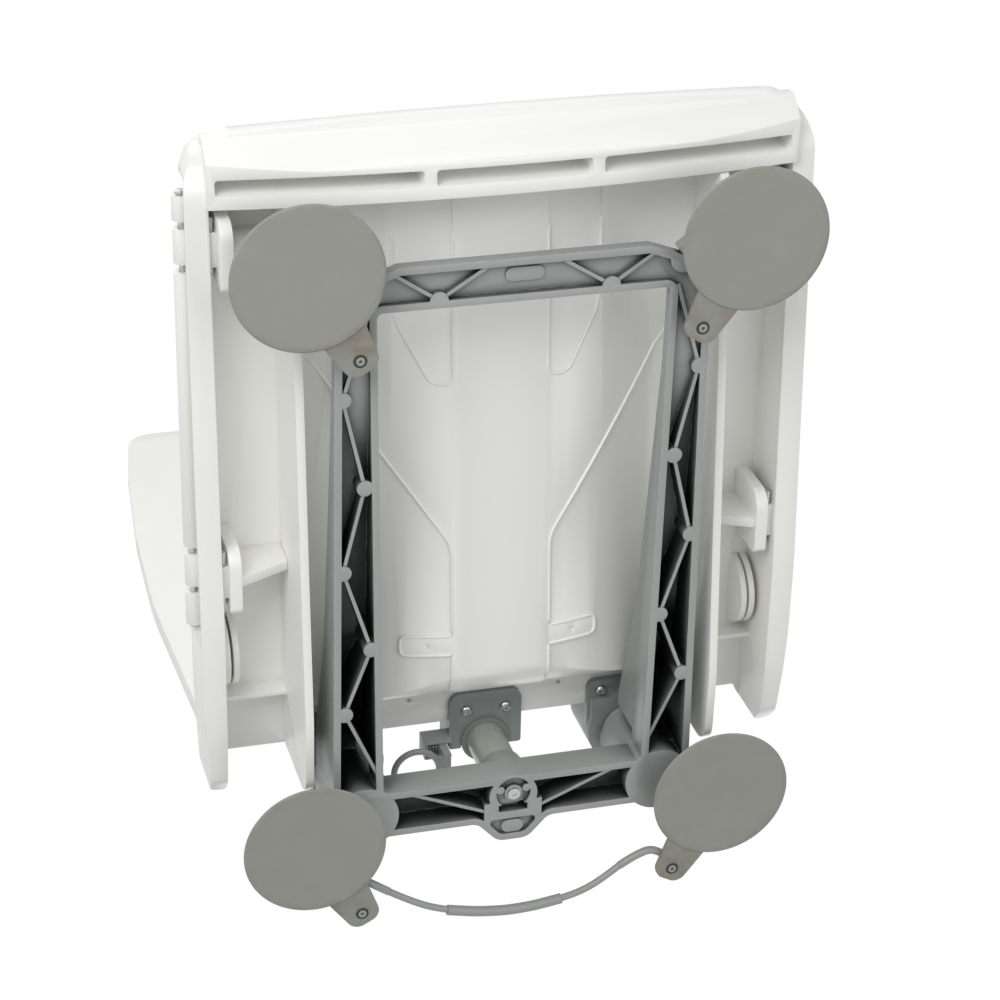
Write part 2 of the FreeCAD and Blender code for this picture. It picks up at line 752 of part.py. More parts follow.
def make_pinion():
    """Return the motor pinion with its shaft."""
    pinion = gear(PINION_TEETH, GEAR_Z, GEAR_T, 3.0, (0.0, 0.0))
    pinion.rotate(V(0, 0, 0), Z, 180.0 / PINION_TEETH)
    pinion.translate(V(MOTOR_X, COLUMN_Y, 0))
    shaft = rod(3.0, (MOTOR_X, COLUMN_Y, GEAR_Z - 24.0), GEAR_T + 26.0)
    return pinion.fuse(shaft).removeSplitter()


def make_screw_bearings():
    """Return the two bearings of the lifting screw."""
    low = tube(13.0, 5.0 + RUN_GAP, (0, COLUMN_Y, GEAR_Z - 12.0), 8.7)
    groove = tube(11.0, 8.0, (0, COLUMN_Y, GEAR_Z - 12.0), 1.0)
    high = tube(9.0, 5.0 + RUN_GAP, (0, COLUMN_Y, YOKE_TOP - 9.0), 4.0)
    return Part.makeCompound([low.cut(groove), high])


# Yoke, housing and drive unit
def yoke_outline():
    """Return the plan outline of the yoke on top of the columns."""
    side = POST_X + SLEEVE_R + 3.5
    front = POST_Y - SLEEVE_R - 1.0
    rear = POST_Y + SLEEVE_R + 3.0
    half = [
        (0.0, front, 0),
        (side, front, 14.0),
        (side, rear, 16.0),
        (POST_X - 24.0, rear, 8.0),
        (62.0, COLUMN_Y + 37.0, 8.0),
        (0.0, COLUMN_Y + 37.0, 0),
    ]
    return both_sides(half)


def cap_screw_points():
    """Return the XY points of the screws in the yoke's cap."""
    points = []
    for side in (-1.0, 1.0):
        points.append((side * (POST_X - 38.0), COLUMN_Y))
        points.append((side * POST_X, POST_Y - 14.0))
        points.append((side * POST_X, POST_Y + 18.0))
    return points


def make_yoke():
    """Return the casting that ties the sleeves and the drive tube."""
    body = slab(yoke_outline(), YOKE_LOW, YOKE_TOP - YOKE_CAP_T)
    # Gear room, open at the top
    room = rod(MODULE * WHEEL_TEETH / 2 + 3.0, (0, COLUMN_Y, GEAR_Z - 3.6), 60.0)
    room = room.common(box(-60, 80, POST_Y - SLEEVE_R + 1.1, 300, 0, 900))
    room = room.fuse(rod(MODULE * PINION_TEETH / 2 + 3.0, (MOTOR_X, COLUMN_Y, GEAR_Z - 3.6), 60.0))
    body = body.cut(room)
    for side in (-1.0, 1.0):
        seat_h = SLEEVE_TOP - YOKE_LOW + 1.0
        body = body.cut(rod(SLEEVE_R, (side * POST_X, POST_Y, YOKE_LOW - 1.0), seat_h))
        body = body.cut(rod(SLEEVE_R - 5.0, (side * POST_X, POST_Y, YOKE_LOW - 1.0), 22.0))
    body = body.cut(rod(DRIVE_TUBE_R, (0, COLUMN_Y, YOKE_LOW - 1.0), SLEEVE_TOP - YOKE_LOW + 1.0))
    body = body.cut(rod(13.0, (0, COLUMN_Y, YOKE_LOW - 1.0), 40.0))
    body = body.cut(rod(4.0, (MOTOR_X, COLUMN_Y, YOKE_LOW - 1.0), 40.0))
    for x, y in cap_screw_points():
        body = body.cut(rod(2.0, (x, y, YOKE_TOP - 11.0), 20.0))
    for side in (-1.0, 1.0):
        body = body.cut(rod(1.6, (side * 61.0, HOUSE_Y1 - 10.0, YOKE_LOW), 7.0))
    return body


def make_yoke_cap():
    """Return the cap over the gears with the screw's top bearing seat."""
    cap = slab(yoke_outline(), YOKE_TOP - YOKE_CAP_T, YOKE_TOP)
    boss = tube(12.0, 9.0, (0, COLUMN_Y, YOKE_TOP - 9.0), 6.0)
    cap = cap.fuse(boss).removeSplitter()
    for x, y in cap_screw_points():
        cap = cap.cut(rod(2.0, (x, y, YOKE_TOP - 10.0), 20.0))
    return cap


def make_cap_screws():
    """Return the six screws that hold the yoke's cap."""
    screws = []
    for x, y in cap_screw_points():
        screws.append(pan_screw((x, y, YOKE_TOP), 10.0, 2.0, Z, False))
    return Part.makeCompound(screws)


def front_screw_points():
    """Return the XZ points of the screws in the housing's front plate."""
    points = []
    for side in (-1.0, 1.0):
        for z in (HOUSE_Z + 8.0, YOKE_LOW - 8.0):
            points.append((side * (HOUSE_X - 5.5), z))
    return points


def make_drive_housing():
    """Return the housing that hangs under the yoke, open to the front."""
    plan = [
        (-HOUSE_X, HOUSE_Y0, 0),
        (HOUSE_X, HOUSE_Y0, 0),
        (HOUSE_X, HOUSE_Y1, 14.0),
        (-HOUSE_X, HOUSE_Y1, 14.0),
    ]
    inner = [
        (-HOUSE_X + HOUSE_T, HOUSE_Y0 - 1.0, 0),
        (HOUSE_X - HOUSE_T, HOUSE_Y0 - 1.0, 0),
        (HOUSE_X - HOUSE_T, HOUSE_Y1 - HOUSE_T, 14.0 - HOUSE_T),
        (-HOUSE_X + HOUSE_T, HOUSE_Y1 - HOUSE_T, 14.0 - HOUSE_T),
    ]
    body = slab(plan, HOUSE_Z, YOKE_LOW)
    room = slab(inner, HOUSE_Z + HOUSE_T, YOKE_LOW + 1.0)
    body = body.cut(room)
    added = []
    for x, z in front_screw_points():
        added.append(rod(4.5, (x, HOUSE_Y0, z), 14.0, Y))
    for side in (-1.0, 1.0):
        x0, x1 = sorted((side * 54.0, side * (HOUSE_X - 1.0)))
        flange = box(x0, x1, HOUSE_Y1 - 17.0, HOUSE_Y1 - 1.0, YOKE_LOW - 3.0, YOKE_LOW)
        added.append(flange.common(slab(plan, HOUSE_Z, YOKE_LOW)))
        for z in (HOUSE_Z + 50.0, HOUSE_Z + 100.0):
            added.append(rod(3.0, (side * 50.0, HOUSE_Y1 - HOUSE_T - 3.6, z), 4.0, Y))
    body = fuse([body] + added)
    body = body.cut(rod(DRIVE_TUBE_R + AIR_GAP, (0, COLUMN_Y, HOUSE_Z - 1.0), 10.0))
    body = body.cut(rod(9.0, (SOCKET_AT[0], HOUSE_Y1 - 10.0, SOCKET_AT[1]), 20.0, Y))
    for x, z in front_screw_points():
        body = body.cut(rod(1.6, (x, HOUSE_Y0 - 1.0, z), 11.0, Y))
    for side in (-1.0, 1.0):
        body = body.cut(rod(1.6, (side * 61.0, HOUSE_Y1 - 10.0, YOKE_LOW - 5.0), 10.0))
    return body


def make_housing_front():
    """Return the plate that closes the housing towards the backrest."""
    plate = box(-HOUSE_X, HOUSE_X, HOUSE_Y0 - FRONT_T, HOUSE_Y0, HOUSE_Z, YOKE_LOW)
    for x, z in front_screw_points():
        plate = plate.cut(rod(1.6, (x, HOUSE_Y0 - 10.0, z), 20.0, Y))
    return plate


def make_housing_screws():
    """Return the screws of the housing's front plate and flanges."""
    screws = []
    for x, z in front_screw_points():
        screws.append(pan_screw((x, HOUSE_Y0 - FRONT_T, z), 12.0, 1.6, -Y, False))
    for side in (-1.0, 1.0):
        at = (side * 61.0, HOUSE_Y1 - 10.0, YOKE_LOW - 3.0)
        screws.append(pan_screw(at, 9.0, 1.6, -Z, False))
    return Part.makeCompound(screws)


def make_motor():
    """Return the motor that hangs on the underside of the yoke."""
    z0 = YOKE_LOW - MOTOR_L
    can = rod(MOTOR_R, (MOTOR_X, COLUMN_Y, z0 + 8.0), MOTOR_L - 14.0)
    face = rod(MOTOR_R - 2.0, (MOTOR_X, COLUMN_Y, YOKE_LOW - 6.0), 6.0)
    tail = rod(MOTOR_R - 4.0, (MOTOR_X, COLUMN_Y, z0), 8.0)
    parts = [can, face, tail]
    for side in (-1.0, 1.0):
        x = MOTOR_X + side * 8.0
        parts.append(box(x - 2.0, x + 2.0, COLUMN_Y - 0.5, COLUMN_Y + 0.5, z0 - 6.0, z0 + 1.0))
    body = fuse(parts)
    return body.cut(rod(3.0 + RUN_GAP, (MOTOR_X, COLUMN_Y, GEAR_Z - 24.5), 20.0))


def make_battery():
    """Return the battery pack that stands on the housing's floor."""
    z0 = HOUSE_Z + HOUSE_T
    plan = [(-66.0, 187.0, 4.0), (-24.0, 187.0, 4.0), (-24.0, 227.0, 4.0), (-66.0, 227.0, 4.0)]
    pack = slab(plan, z0, z0 + 96.0)
    pole = [rod(3.0, (x, 207.0, z0 + 96.0), 4.0) for x in (-56.0, -34.0)]
    body = fuse([pack] + pole)
    # Shallow waist band of the wrapped cells
    band = slab(plan, z0 + 30.0, z0 + 66.0)
    core = [(-65.4, 187.6, 3.6), (-24.6, 187.6, 3.6), (-24.6, 226.4, 3.6), (-65.4, 226.4, 3.6)]
    body = body.cut(band.cut(slab(core, z0 + 30.0, z0 + 66.0)))
    for x, z in front_screw_points():
        body = body.cut(rod(4.5 + SNUG_GAP, (x, HOUSE_Y0, z), 15.0, Y))
    return body


def make_control_board():
    """Return the control board with its relays, on four pillars."""
    y1 = HOUSE_Y1 - HOUSE_T - 3.6
    z0 = HOUSE_Z + 42.0
    board = box(-58.0, 60.0, y1 - 1.6, y1, z0, z0 + 66.0)
    parts = [board]
    for x in (-17.0, 3.0):
        parts.append(box(x, x + 14.0, y1 - 8.0, y1 - 1.6, z0 + 12.0, z0 + 30.0))
    for x in (-12.0, 0.0, 12.0):
        parts.append(rod(4.0, (x, y1 - 8.4, z0 + 48.0), 6.8, Y))
    parts.append(box(-54.0, -40.0, y1 - 4.2, y1 - 1.6, z0 + 4.0, z0 + 12.0))
    return fuse(parts)


def make_control_socket():
    """Return the flanged socket for the hand control's plug."""
    x, z = SOCKET_AT
    flange = rod(12.0, (x, HOUSE_Y1, z), 2.0, Y)
    body = rod(9.0, (x, HOUSE_Y1 - 18.0, z), 18.0, Y)
    socket = flange.fuse(body).removeSplitter()
    socket = socket.cut(rod(6.5, (x, HOUSE_Y1 - 13.0, z), 30.0, Y))
    pins = []
    for i in range(3):
        a = math.radians(120.0 * i + 90.0)
        at = (x + 3.6 * math.cos(a), HOUSE_Y1 - 13.5, z + 3.6 * math.sin(a))
        pins.append(rod(0.9, at, 9.0, Y))
    return fuse([socket] + pins)


# Column release
def make_release_slider():
    """Return the latch block with its pin and finger ring."""
    low = RING_AT[2] - RING_BAR_R + 0.2
    high = RING_AT[2] + RING_BAR_R - 0.2
    ring = Part.makeTorus(RING_R, RING_BAR_R, V(*RING_AT), Z)
    block = box(LATCH_BACK_X, -31.0, COLUMN_Y - 4.5, COLUMN_Y + 4.5, low, 106.0)
    arm = box(LATCH_BACK_X - 4.0, -31.0, COLUMN_Y - 2.0, COLUMN_Y + 9.0, low, high)
    pin = rod(LATCH_R, (-31.5, COLUMN_Y, LATCH_Z), 31.5 - DRIVE_TUBE_R + 2.4, X)
    nose = rod(2.2, (LATCH_BACK_X - 1.5, COLUMN_Y, LATCH_Z - 5.0), 2.0, X)
    return fuse([ring, block, arm, pin, nose])


def make_release_housing():
    """Return the cage that guides the latch on the centre bracket."""
    z0 = LATCH_Z - 10.0
    z1 = 108.5
    y0 = COLUMN_Y - 7.0
    y1 = COLUMN_Y + 7.0
    cage = box(CAGE_X, -27.0, y0, y1, z0, z1)
    room = box(CAGE_X + CAGE_T, -27.0, y0 + 2.0, y1 - 2.0, z0 - 1.0, z1 - 2.0)
    cage = cage.cut(room)
    post = rod(2.2, (CAGE_X + CAGE_T - 0.5, COLUMN_Y, LATCH_Z - 5.0), 2.0, X)
    return cage.fuse(post).removeSplitter()


def coil_path(radius, pitch, turns, start):
    """Return a helix along -X as tangent biarcs, two to each half turn."""
    def spot(a):
        """Return the point and the unit tangent at angle a."""
        p = V(-pitch * a / (2 * math.pi), radius * math.cos(a), radius * math.sin(a))
        t = V(-pitch / (2 * math.pi), -radius * math.sin(a), radius * math.cos(a))
        t.normalize()
        return p + V(*start), t

    def arc(p, way, q):
        """Return the arc that leaves p along way and ends at q."""
        chord = q - p
        half = chord.getAngle(way) / 2.0
        side = way * chord.Length * 0.5 / math.cos(2.0 * half) - chord * 0.5
        side.normalize()
        mid = (p + q) * 0.5 + side * (chord.Length * 0.5 * math.tan(half))
        return Part.Arc(p, mid, q).toShape()

    edges = []
    for i in range(turns * 4):
        p, s = spot(i * math.pi / 2.0)
        q, e = spot((i + 1) * math.pi / 2.0)
        v = q - p
        t = s + e
        a = 2.0 * (1.0 - s.dot(e))
        b = 2.0 * v.dot(t)
        reach = (-b + math.sqrt(b * b + 4.0 * a * v.dot(v))) / (2.0 * a)
        joint = (p + s * reach + q - e * reach) * 0.5
        way = q - e * reach - joint
        way.normalize()
        edges.append(arc(p, s, joint))
        edges.append(arc(joint, way, q))
    return Part.Wire(edges)


def least_gap(path, step, skip, wire_r):
    """Return the least gap of a coiled wire to itself, measured on points."""
    spots = path.discretize(Distance=step)
    least = 1e9
    for i in range(len(spots)):
        for j in range(i + skip, len(spots)):
            least = min(least, (spots[i] - spots[j]).Length)
    return least - 2.0 * wire_r


def make_release_spring():
    """Return the latch's return spring."""
    x0 = LATCH_BACK_X - SPRING_WIRE_R - 0.1
    length = LATCH_BACK_X - CAGE_X - CAGE_T - 2.0 * SPRING_WIRE_R - 0.2
    pitch = length / SPRING_TURNS
    path = coil_path(SPRING_R, pitch, SPRING_TURNS, (x0, COLUMN_Y, LATCH_Z - 5.0))
    skip = int(1.2 * math.pi * SPRING_R)
    gap = least_gap(path, 1.0, skip, SPRING_WIRE_R)
    print("  spring wire length", round(path.Length, 1), "least gap", round(gap, 2))
    return pipe(path, SPRING_WIRE_R)


# Cord between the rear cups
def cord_points():
    """Return the cord's route from the left end piece to the right one."""
    low = GRIP_R + SNUG_GAP
    return [
        (-93.5, 262.0, CORD_Z),
        (-74.0, 274.3, 6.4),
        (-52.0, 282.2, 4.5),
        (-30.0, 287.1, low),
        (-8.1, 289.6, low),
        (12.0, 289.0, low),
        (31.9, 286.2, low + 0.1),
        (47.5, 282.8, 4.8),
        (62.5, 276.3, 6.2),
        (76.0, 268.2, CORD_Z),
    ]


def make_cord():
    """Return the cord's tube."""
    points = cord_points()
    for end, near in ((0, 1), (-1, -2)):
        p = V(*points[end])
        way = p - V(*points[near])
        way.normalize()
        points[end] = tuple(p + way * 1.0)
    return pipe(rounded_path(points), CORD_R)


def make_cord_grip():
    """Return the thicker sleeve at the middle of the cord."""
    path = rounded_path(cord_points()[2:7])
    return pipe(path, GRIP_R).cut(make_cord())


def make_cord_ends():
    """Return the moulded eyes that tie the cord to the rear tabs."""
    points = cord_points()
    hooks = {
        -1.0: [(-117.0, 268.0), (-118.5, 254.0), (-109.5, 250.5)],
        1.0: [(109.5, 270.0), (108.5, 262.5), (98.7, 257.4), (86.8, 261.8)],
    }
    ends = []
    cord = make_cord()
    top = TAB_Z + 1.0 + TAB_T
    for side in (-1.0, 1.0):
        x, y = tab_pin_at((side * CUP_X, CUP_Y))
        last = points[0] if side < 0 else points[-1]
        path = rounded_path([(p[0], p[1], CORD_Z) for p in hooks[side]] + [last])
        hook = pipe(path, CORD_END_R)
        eye = rod(EYE_R, (x, y, top), EYE_T)
        end = hook.fuse(eye).removeSplitter()
        end = end.cut(rod(PIN_R, (x, y, 0), 40.0))
        end = end.cut(rod(PIN_R + 1.8 + SNUG_GAP, (x, y, top + EYE_T), 40.0))
        ends.extend(end.cut(cord).Solids)
    return Part.makeCompound(ends)


# Seat
def seat_plan():
    """Return the seat's outer outline seen from above."""
    half = [
        (0.0, SEAT_FRONT_Y, 0),
        (70.0, SEAT_FRONT_Y + 0.6, 600.0),
        (SEAT_SIDE_X - 0.5, SEAT_FRONT_Y + 7.5, SEAT_CORNER_R),
        (SEAT_SIDE_X + 0.5, -20.0, 500.0),
        (SEAT_SIDE_X, 120.0, 200.0),
        (SEAT_SIDE_X - 4.0, 199.0, 6.0),
        (SEAT_WEB_X - SEAT_WEB_T, 199.0, 4.0),
        (192.0, SEAT_REAR_Y, 2.0),
        (0.0, SEAT_REAR_Y, 0),
    ]
    return both_sides(half)


def rim_low(y):
    """Return the height of the side rim's underside at the given y."""
    last = SIDE_LOW[0]
    for point in SIDE_LOW[1:]:
        if y <= point[0]:
            break
        last = point
    if point is last:
        return point[1]
    share = (y - last[0]) / (point[0] - last[0])
    return last[1] + (point[1] - last[1]) * share


def bowl(inset):
    """Return the solid under the bowl's surface, made smaller by inset."""
    slope = math.atan(-BOWL_SLOPE)
    radius = BOWL_R - inset
    start = V(0, BOWL_REF_Y, BOWL_REF_Z + BOWL_R)
    way = V(0, math.cos(slope), -math.sin(slope))
    barrel = Part.makeCylinder(radius, 1200.0, start - way * 600.0, way)
    end = BOWL_REAR_Y - inset
    low_front = BOWL_REF_Z + BOWL_SLOPE * (-400.0 - BOWL_REF_Y) + inset - BOWL_KEEL
    low_rear = BOWL_REF_Z + BOWL_SLOPE * (end - BOWL_REF_Y) + inset - BOWL_KEEL
    side = side_slab(
        [
            (-400.0, low_front, 0),
            (end, low_rear, BOWL_END_R - inset),
            (end, 190.0, 0),
            (-400.0, 190.0, 0),
        ],
        -150.0,
        150.0,
    )
    return barrel.common(side)


def make_seat():
    """Return the seat shell with its rolled front edge and its side rims."""
    outer_face = Part.Face(outline(seat_plan(), place_xy, 30.0))
    plan = outer_face.extrude(V(0, 0, 120.0))
    # Side view of the whole shell, from the lip round the top and back
    profile = [
        (SEAT_FRONT_Y - 2.0, NOSE_Z + 3.0, 3.0),
        (SEAT_FRONT_Y + 9.0, SEAT_TOP - 8.0, 16.0),
        (SEAT_FRONT_Y + 30.0, SEAT_TOP, 30.0),
        (210.0, SEAT_TOP, 0),
        (210.0, 70.0, 0),
        (199.5, 70.0, 4.0),
        (SIDE_LOW[4][0], SIDE_LOW[4][1], 14.0),
        (SIDE_LOW[3][0], SIDE_LOW[3][1], 100.0),
        (SIDE_LOW[2][0], SIDE_LOW[2][1], 300.0),
        (SIDE_LOW[1][0], SIDE_LOW[1][1], 500.0),
        (SIDE_LOW[0][0], SIDE_LOW[0][1], 20.0),
        (SIDE_LOW[0][0] - 15.0, NOSE_Z - 0.5, 10.0),
        (SEAT_FRONT_Y + 1.0, NOSE_Z, 1.5),
    ]
    shell = plan.common(side_slab(profile, -230.0, 230.0))
    # Hollow the underside behind the front beam
    inner_x = SEAT_WEB_X - SEAT_WEB_T
    shell = shell.cut(box(-inner_x, inner_x, BEAM_Y1, 260.0, 0.0, FLOOR_Z))
    # Groove above the side rim for the flap hinge
    groove = [(-254.0, rim_low(-254.0) + SIDE_BEAD_H, 0)]
    for y, z in SIDE_LOW[1:3]:
        groove.append((y, z + SIDE_BEAD_H, 0))
    rear = FLAP_REAR_Y + 7.0
    groove.append((rear, rim_low(rear) + SIDE_BEAD_H, 0))
    groove.append((rear, 140.0, 0))
    groove.append((-254.0, 140.0, 0))
    for side in (-1.0, 1.0):
        x0, x1 = sorted((side * SEAT_WEB_X, side * 240.0))
        shell = shell.cut(side_slab(groove, x0, x1))
    # Round the top edges; the web's is round so that a raised flap clears it
    for r, x, y0, y1 in (
        (13.0, SEAT_WEB_X, -254.0, rear),
        (NOSE_CORNER_R, SEAT_SIDE_X, -300.0, -254.0),
        (10.0, SEAT_SIDE_X, rear, 230.0),
    ):
        edge = box(x - r, x + 30.0, y0, y1, SEAT_TOP - r, SEAT_TOP + 5.0)
        edge = edge.cut(rod(r, (x - r, y0 - 10.0, SEAT_TOP - r), y1 - y0 + 20.0, Y))
        shell = shell.cut(edge).cut(flip(edge))
    return shell


def seat_details(shell):
    """Add the beam, fins, bowl and ribs under the seat shell."""
    parts = [shell]
    # Front beam, bowed from side to side, with its front face raked
    beam_x = SEAT_WEB_X - SEAT_WEB_T + 1.5
    beam = side_slab(
        [
            (BEAM_Y1, 40.0, 0),
            (BEAM_Y1, NOSE_Z + 10.0, 0),
            (SEAT_FRONT_Y + 7.5, NOSE_Z + 10.0, 0),
            (SEAT_FRONT_Y + 7.5, NOSE_Z, 0),
            (BEAM_Y0, BEAM_LOW_Z + 6.0, 0),
            (BEAM_Y0, 40.0, 0),
        ],
        -beam_x,
        beam_x,
    )
    bow = rod(BEAM_BOW_R, (0, -400.0, BEAM_LOW_Z + BEAM_BOW_R), 400.0, Y)
    beam = beam.common(bow.common(box(-230, 230, -400, 0, 0, 130)))
    parts.append(beam)
    # Long fins that stand beside the base frame
    fin = side_slab(
        [
            (-238.0, FLOOR_Z + 1.0, 0),
            (-238.0, 58.0, 10.0),
            (-100.0, 43.0, 200.0),
            (34.0, 33.0, 300.0),
            (128.0, 24.5, 120.0),
            (187.0, 27.0, 16.0),
            (187.0, FLOOR_Z + 1.0, 0),
        ],
        FIN_X - FIN_T / 2,
        FIN_X + FIN_T / 2,
    )
    parts.append(fin)
    parts.append(flip(fin))
    # Half-round ribs beside the flange
    for x in (185.0, 191.0):
        rib = rod(26.0, (x - 2.0, 103.0, FLOOR_Z - 3.0), 4.0, X)
        rib = rib.common(box(150, 220, 0, 220, 40, FLOOR_Z + 1.0))
        parts.append(rib)
        parts.append(flip(rib))
    # Cross ribs of the side channels
    for y in (138.0,):
        web = box(FIN_X, SEAT_WEB_X - SEAT_WEB_T + 1.0, y - 1.5, y + 1.5, FLOOR_Z - 16.0, FLOOR_Z + 1.0)
        parts.append(web)
        parts.append(flip(web))
    parts.append(bowl(0.0).common(box(-141.0, 141.0, BEAM_Y1 - 2.0, 170.0, 40.0, SEAT_TOP - 1.0)))
    seat = fuse(parts)
    # Open the bowl from above
    scoop = bowl(BOWL_T).common(box(-150, 150, -320, 170.0, 40.0, 150.0))
    return seat.cut(scoop)


def emboss_seat(seat):
    """Cut the raised and sunk fields of the bowl's underside."""
    skin = bowl(0.0).cut(bowl(EMBOSS))
    fields = []
    for side in (-1.0, 1.0):
        flank = [
            (side * 35.0, 170.0, 0),
            (side * 35.0, 25.0, 10.0),
            (side * 106.0, -80.0, 0),
            (side * 150.0, -145.0, 0),
            (side * 150.0, 170.0, 0),
        ]
        finger = [
            (side * 33.0, BEAM_Y1 + 0.5, 0),
            (side * 33.0, -93.5, 9.0),
            (side * 48.0, -93.5, 6.0),
            (side * 72.0, -140.0, 14.0),
            (side * 72.0, BEAM_Y1 + 0.5, 0),
        ]
        pad = [
            (side * 30.0, 94.5, 0),
            (side * 71.0, 94.5, 6.5),
            (side * 71.0, 109.0, 6.5),
            (side * 30.0, 109.0, 0),
        ]
        field = slab(flank, 30.0, 130.0).fuse(slab(finger, 30.0, 130.0))
        fields.append(field.cut(slab(pad, 30.0, 130.0)))
    sunk = skin.common(fuse(fields))
    seat = seat.cut(sunk.common(box(-150, 150, BEAM_Y1 + 0.4, 157.0, 30.0, FLOOR_Z - 0.6)))
    # Screw holes of the pads and of the rear rim
    for side in (-1.0, 1.0):
        seat = seat.cut(rod(1.8, (side * 53.0, 101.7, 40.0), 28.0))
        seat = seat.cut(rod(1.8, (side * 56.0, 168.0, 90.0), FLOOR_Z + 3.0 - 90.0))
    return seat


def nose_field():
    """Return the shallow field between the front lip and the beam's slots."""
    lip = SEAT_FRONT_Y + NOSE_LIP
    half = [
        (0.0, lip, 0),
        (70.0, lip + 0.6, 600.0),
        (NOSE_FIELD_X, lip + 6.5, 14.0),
        (NOSE_FIELD_X, BEAM_Y0 - 1.5, 3.0),
        (0.0, BEAM_Y0 - 1.5, 0),
    ]
    plan = slab(both_sides(half), 40.0, 100.0)
    depth = [
        (lip - 5.0, 40.0, 0),
        (lip - 5.0, NOSE_Z + NOSE_DISH, 0),
        (SEAT_FRONT_Y + 9.0, NOSE_Z + NOSE_DISH, 9.0),
        (BEAM_Y0 - 1.0, BEAM_LOW_Z + 6.0, 0),
        (BEAM_Y0 - 1.0, 40.0, 0),
    ]
    return plan.common(side_slab(depth, -200.0, 200.0))


def finish_seat(seat):
    """Cut the nose's field, the slots, the hinge windows and the notches."""
    seat = seat.cut(nose_field())
    for x0, x1 in ((-SLOT_OUT_X, -SLOT_IN_X), (-SLOT_MID_X, SLOT_MID_X), (SLOT_IN_X, SLOT_OUT_X)):
        pocket = [
            (x0, SLOT_Y0, 2.5),
            (x1, SLOT_Y0, 2.5),
            (x1, SLOT_Y1, 2.5),
            (x0, SLOT_Y1, 2.5),
        ]
        top = SLOT_TOP if x0 < 0.0 < x1 else SLOT_SIDE_TOP
        seat = seat.cut(slab(pocket, 30.0, top))
    for side in (-1.0, 1.0):
        for y in HINGE_Y:
            x0, x1 = sorted((side * (SEAT_WEB_X - SEAT_WEB_T - 1.0), side * (SEAT_WEB_X + 1.0)))
            half = CLIP_ARM / 2.0 + SNUG_GAP
            low = rim_low(y) + SIDE_BEAD_H + 0.8
            seat = seat.cut(box(x0, x1, y - half, y + half, low, HINGE_Z + 10.0))
        seat = seat.cut(rod(SLEEVE_R + 6.0, (side * POST_X, POST_Y, 20.0), 120.0))
        for x in (87.0, 120.5):
            seat = seat.cut(rod(2.0, (side * x, 176.0, 90.0), FLOOR_Z + 3.0 - 90.0))
        seat = seat.cut(rod(2.0, (side * 14.6, 179.0, 90.0), FLOOR_Z + 3.0 - 90.0))
    seat = seat.cut(rod(DRIVE_TUBE_R + AIR_GAP, (0, COLUMN_Y, 20.0), 120.0))
    return seat


# Seat brackets
def make_post_bracket(side):
    """Return the bracket that joins the seat to one guide sleeve."""
    top = FLOOR_Z
    flange = slab(
        [
            (POST_X - 30.0, 168.0, 7.0),
            (POST_X + 30.0, 168.0, 7.0),
            (POST_X + 30.0, POST_Y, 0),
            (POST_X - 30.0, POST_Y, 0),
        ],
        top - 5.0,
        top,
    )
    ring = rod(SLEEVE_R + BRACKET_WALL, (POST_X, POST_Y, SLEEVE_Z - 4.0), BRACKET_TOP - SLEEVE_Z + 4.0)
    web = box(POST_X - 28.0, POST_X + 28.0, 181.0, POST_Y, SLEEVE_Z - 4.0, top - 4.0)
    body = fuse([flange, ring, web])
    body = body.cut(rod(SLEEVE_R, (POST_X, POST_Y, SLEEVE_Z), 60.0))
    body = body.cut(rod(POST_R + 1.2, (POST_X, POST_Y, 60.0), 60.0))
    for x in (87.0, 120.5):
        body = body.cut(rod(2.0, (x, 176.0, 90.0), 30.0))
    return flip(body) if side < 0 else body


def make_centre_bracket():
    """Return the forked bracket that holds the drive tube's collar."""
    top = FLOOR_Z
    plate = slab(
        [
            (-27.0, 165.5, 9.0),
            (27.0, 165.5, 9.0),
            (27.0, 211.0, 2.0),
            (-27.0, 211.0, 2.0),
        ],
        top - 5.0,
        top,
    )
    rim = slab([(-27.0, 190.0, 0), (27.0, 190.0, 0), (27.0, 211.0, 2.0), (-27.0, 211.0, 2.0)], top - 5.0, top + 22.0)
    body = plate.fuse(rim).removeSplitter()
    body = body.cut(rod(DRIVE_TUBE_R, (0, COLUMN_Y, 60.0), 120.0))
    body = body.cut(box(-DRIVE_TUBE_R, DRIVE_TUBE_R, COLUMN_Y, 230.0, 60.0, 160.0))
    for side in (-1.0, 1.0):
        body = body.cut(rod(2.0, (side * 14.6, 179.0, 90.0), 30.0))
    return body.cut(rod(1.7, (-40.0, COLUMN_Y, 101.6), 26.0, X))


def bracket_screw_points():
    """Return the XY points of the bracket screws."""
    points = [(-14.6, 179.0), (14.6, 179.0)]
    for side in (-1.0, 1.0):
        for x in (87.0, 120.5):
            points.append((side * x, 176.0))
    return points


def make_bracket_screws():
    """Return the six screws that hold the brackets to the seat."""
    screws = []
    for x, y in bracket_screw_points():
        screws.append(pan_screw((x, y, FLOOR_Z - 5.0), 7.5, 2.0, -Z))
    return Part.makeCompound(screws)


# Flaps and hinges
def flap_panel():
    """Return a flat flap lying in the XZ-rotated frame of the left hinge."""
    shape = [
        (0.0, FLAP_FRONT_Y, 2.0),
        (26.0, FLAP_FRONT_Y + 5.0, 16.0),
        (FLAP_W, FLAP_FRONT_Y + 66.0, 46.0),
        (FLAP_W, FLAP_REAR_Y - 26.0, 46.0),
        (26.0, FLAP_REAR_Y, 16.0),
        (0.0, FLAP_REAR_Y, 2.0),
    ]
    return shape


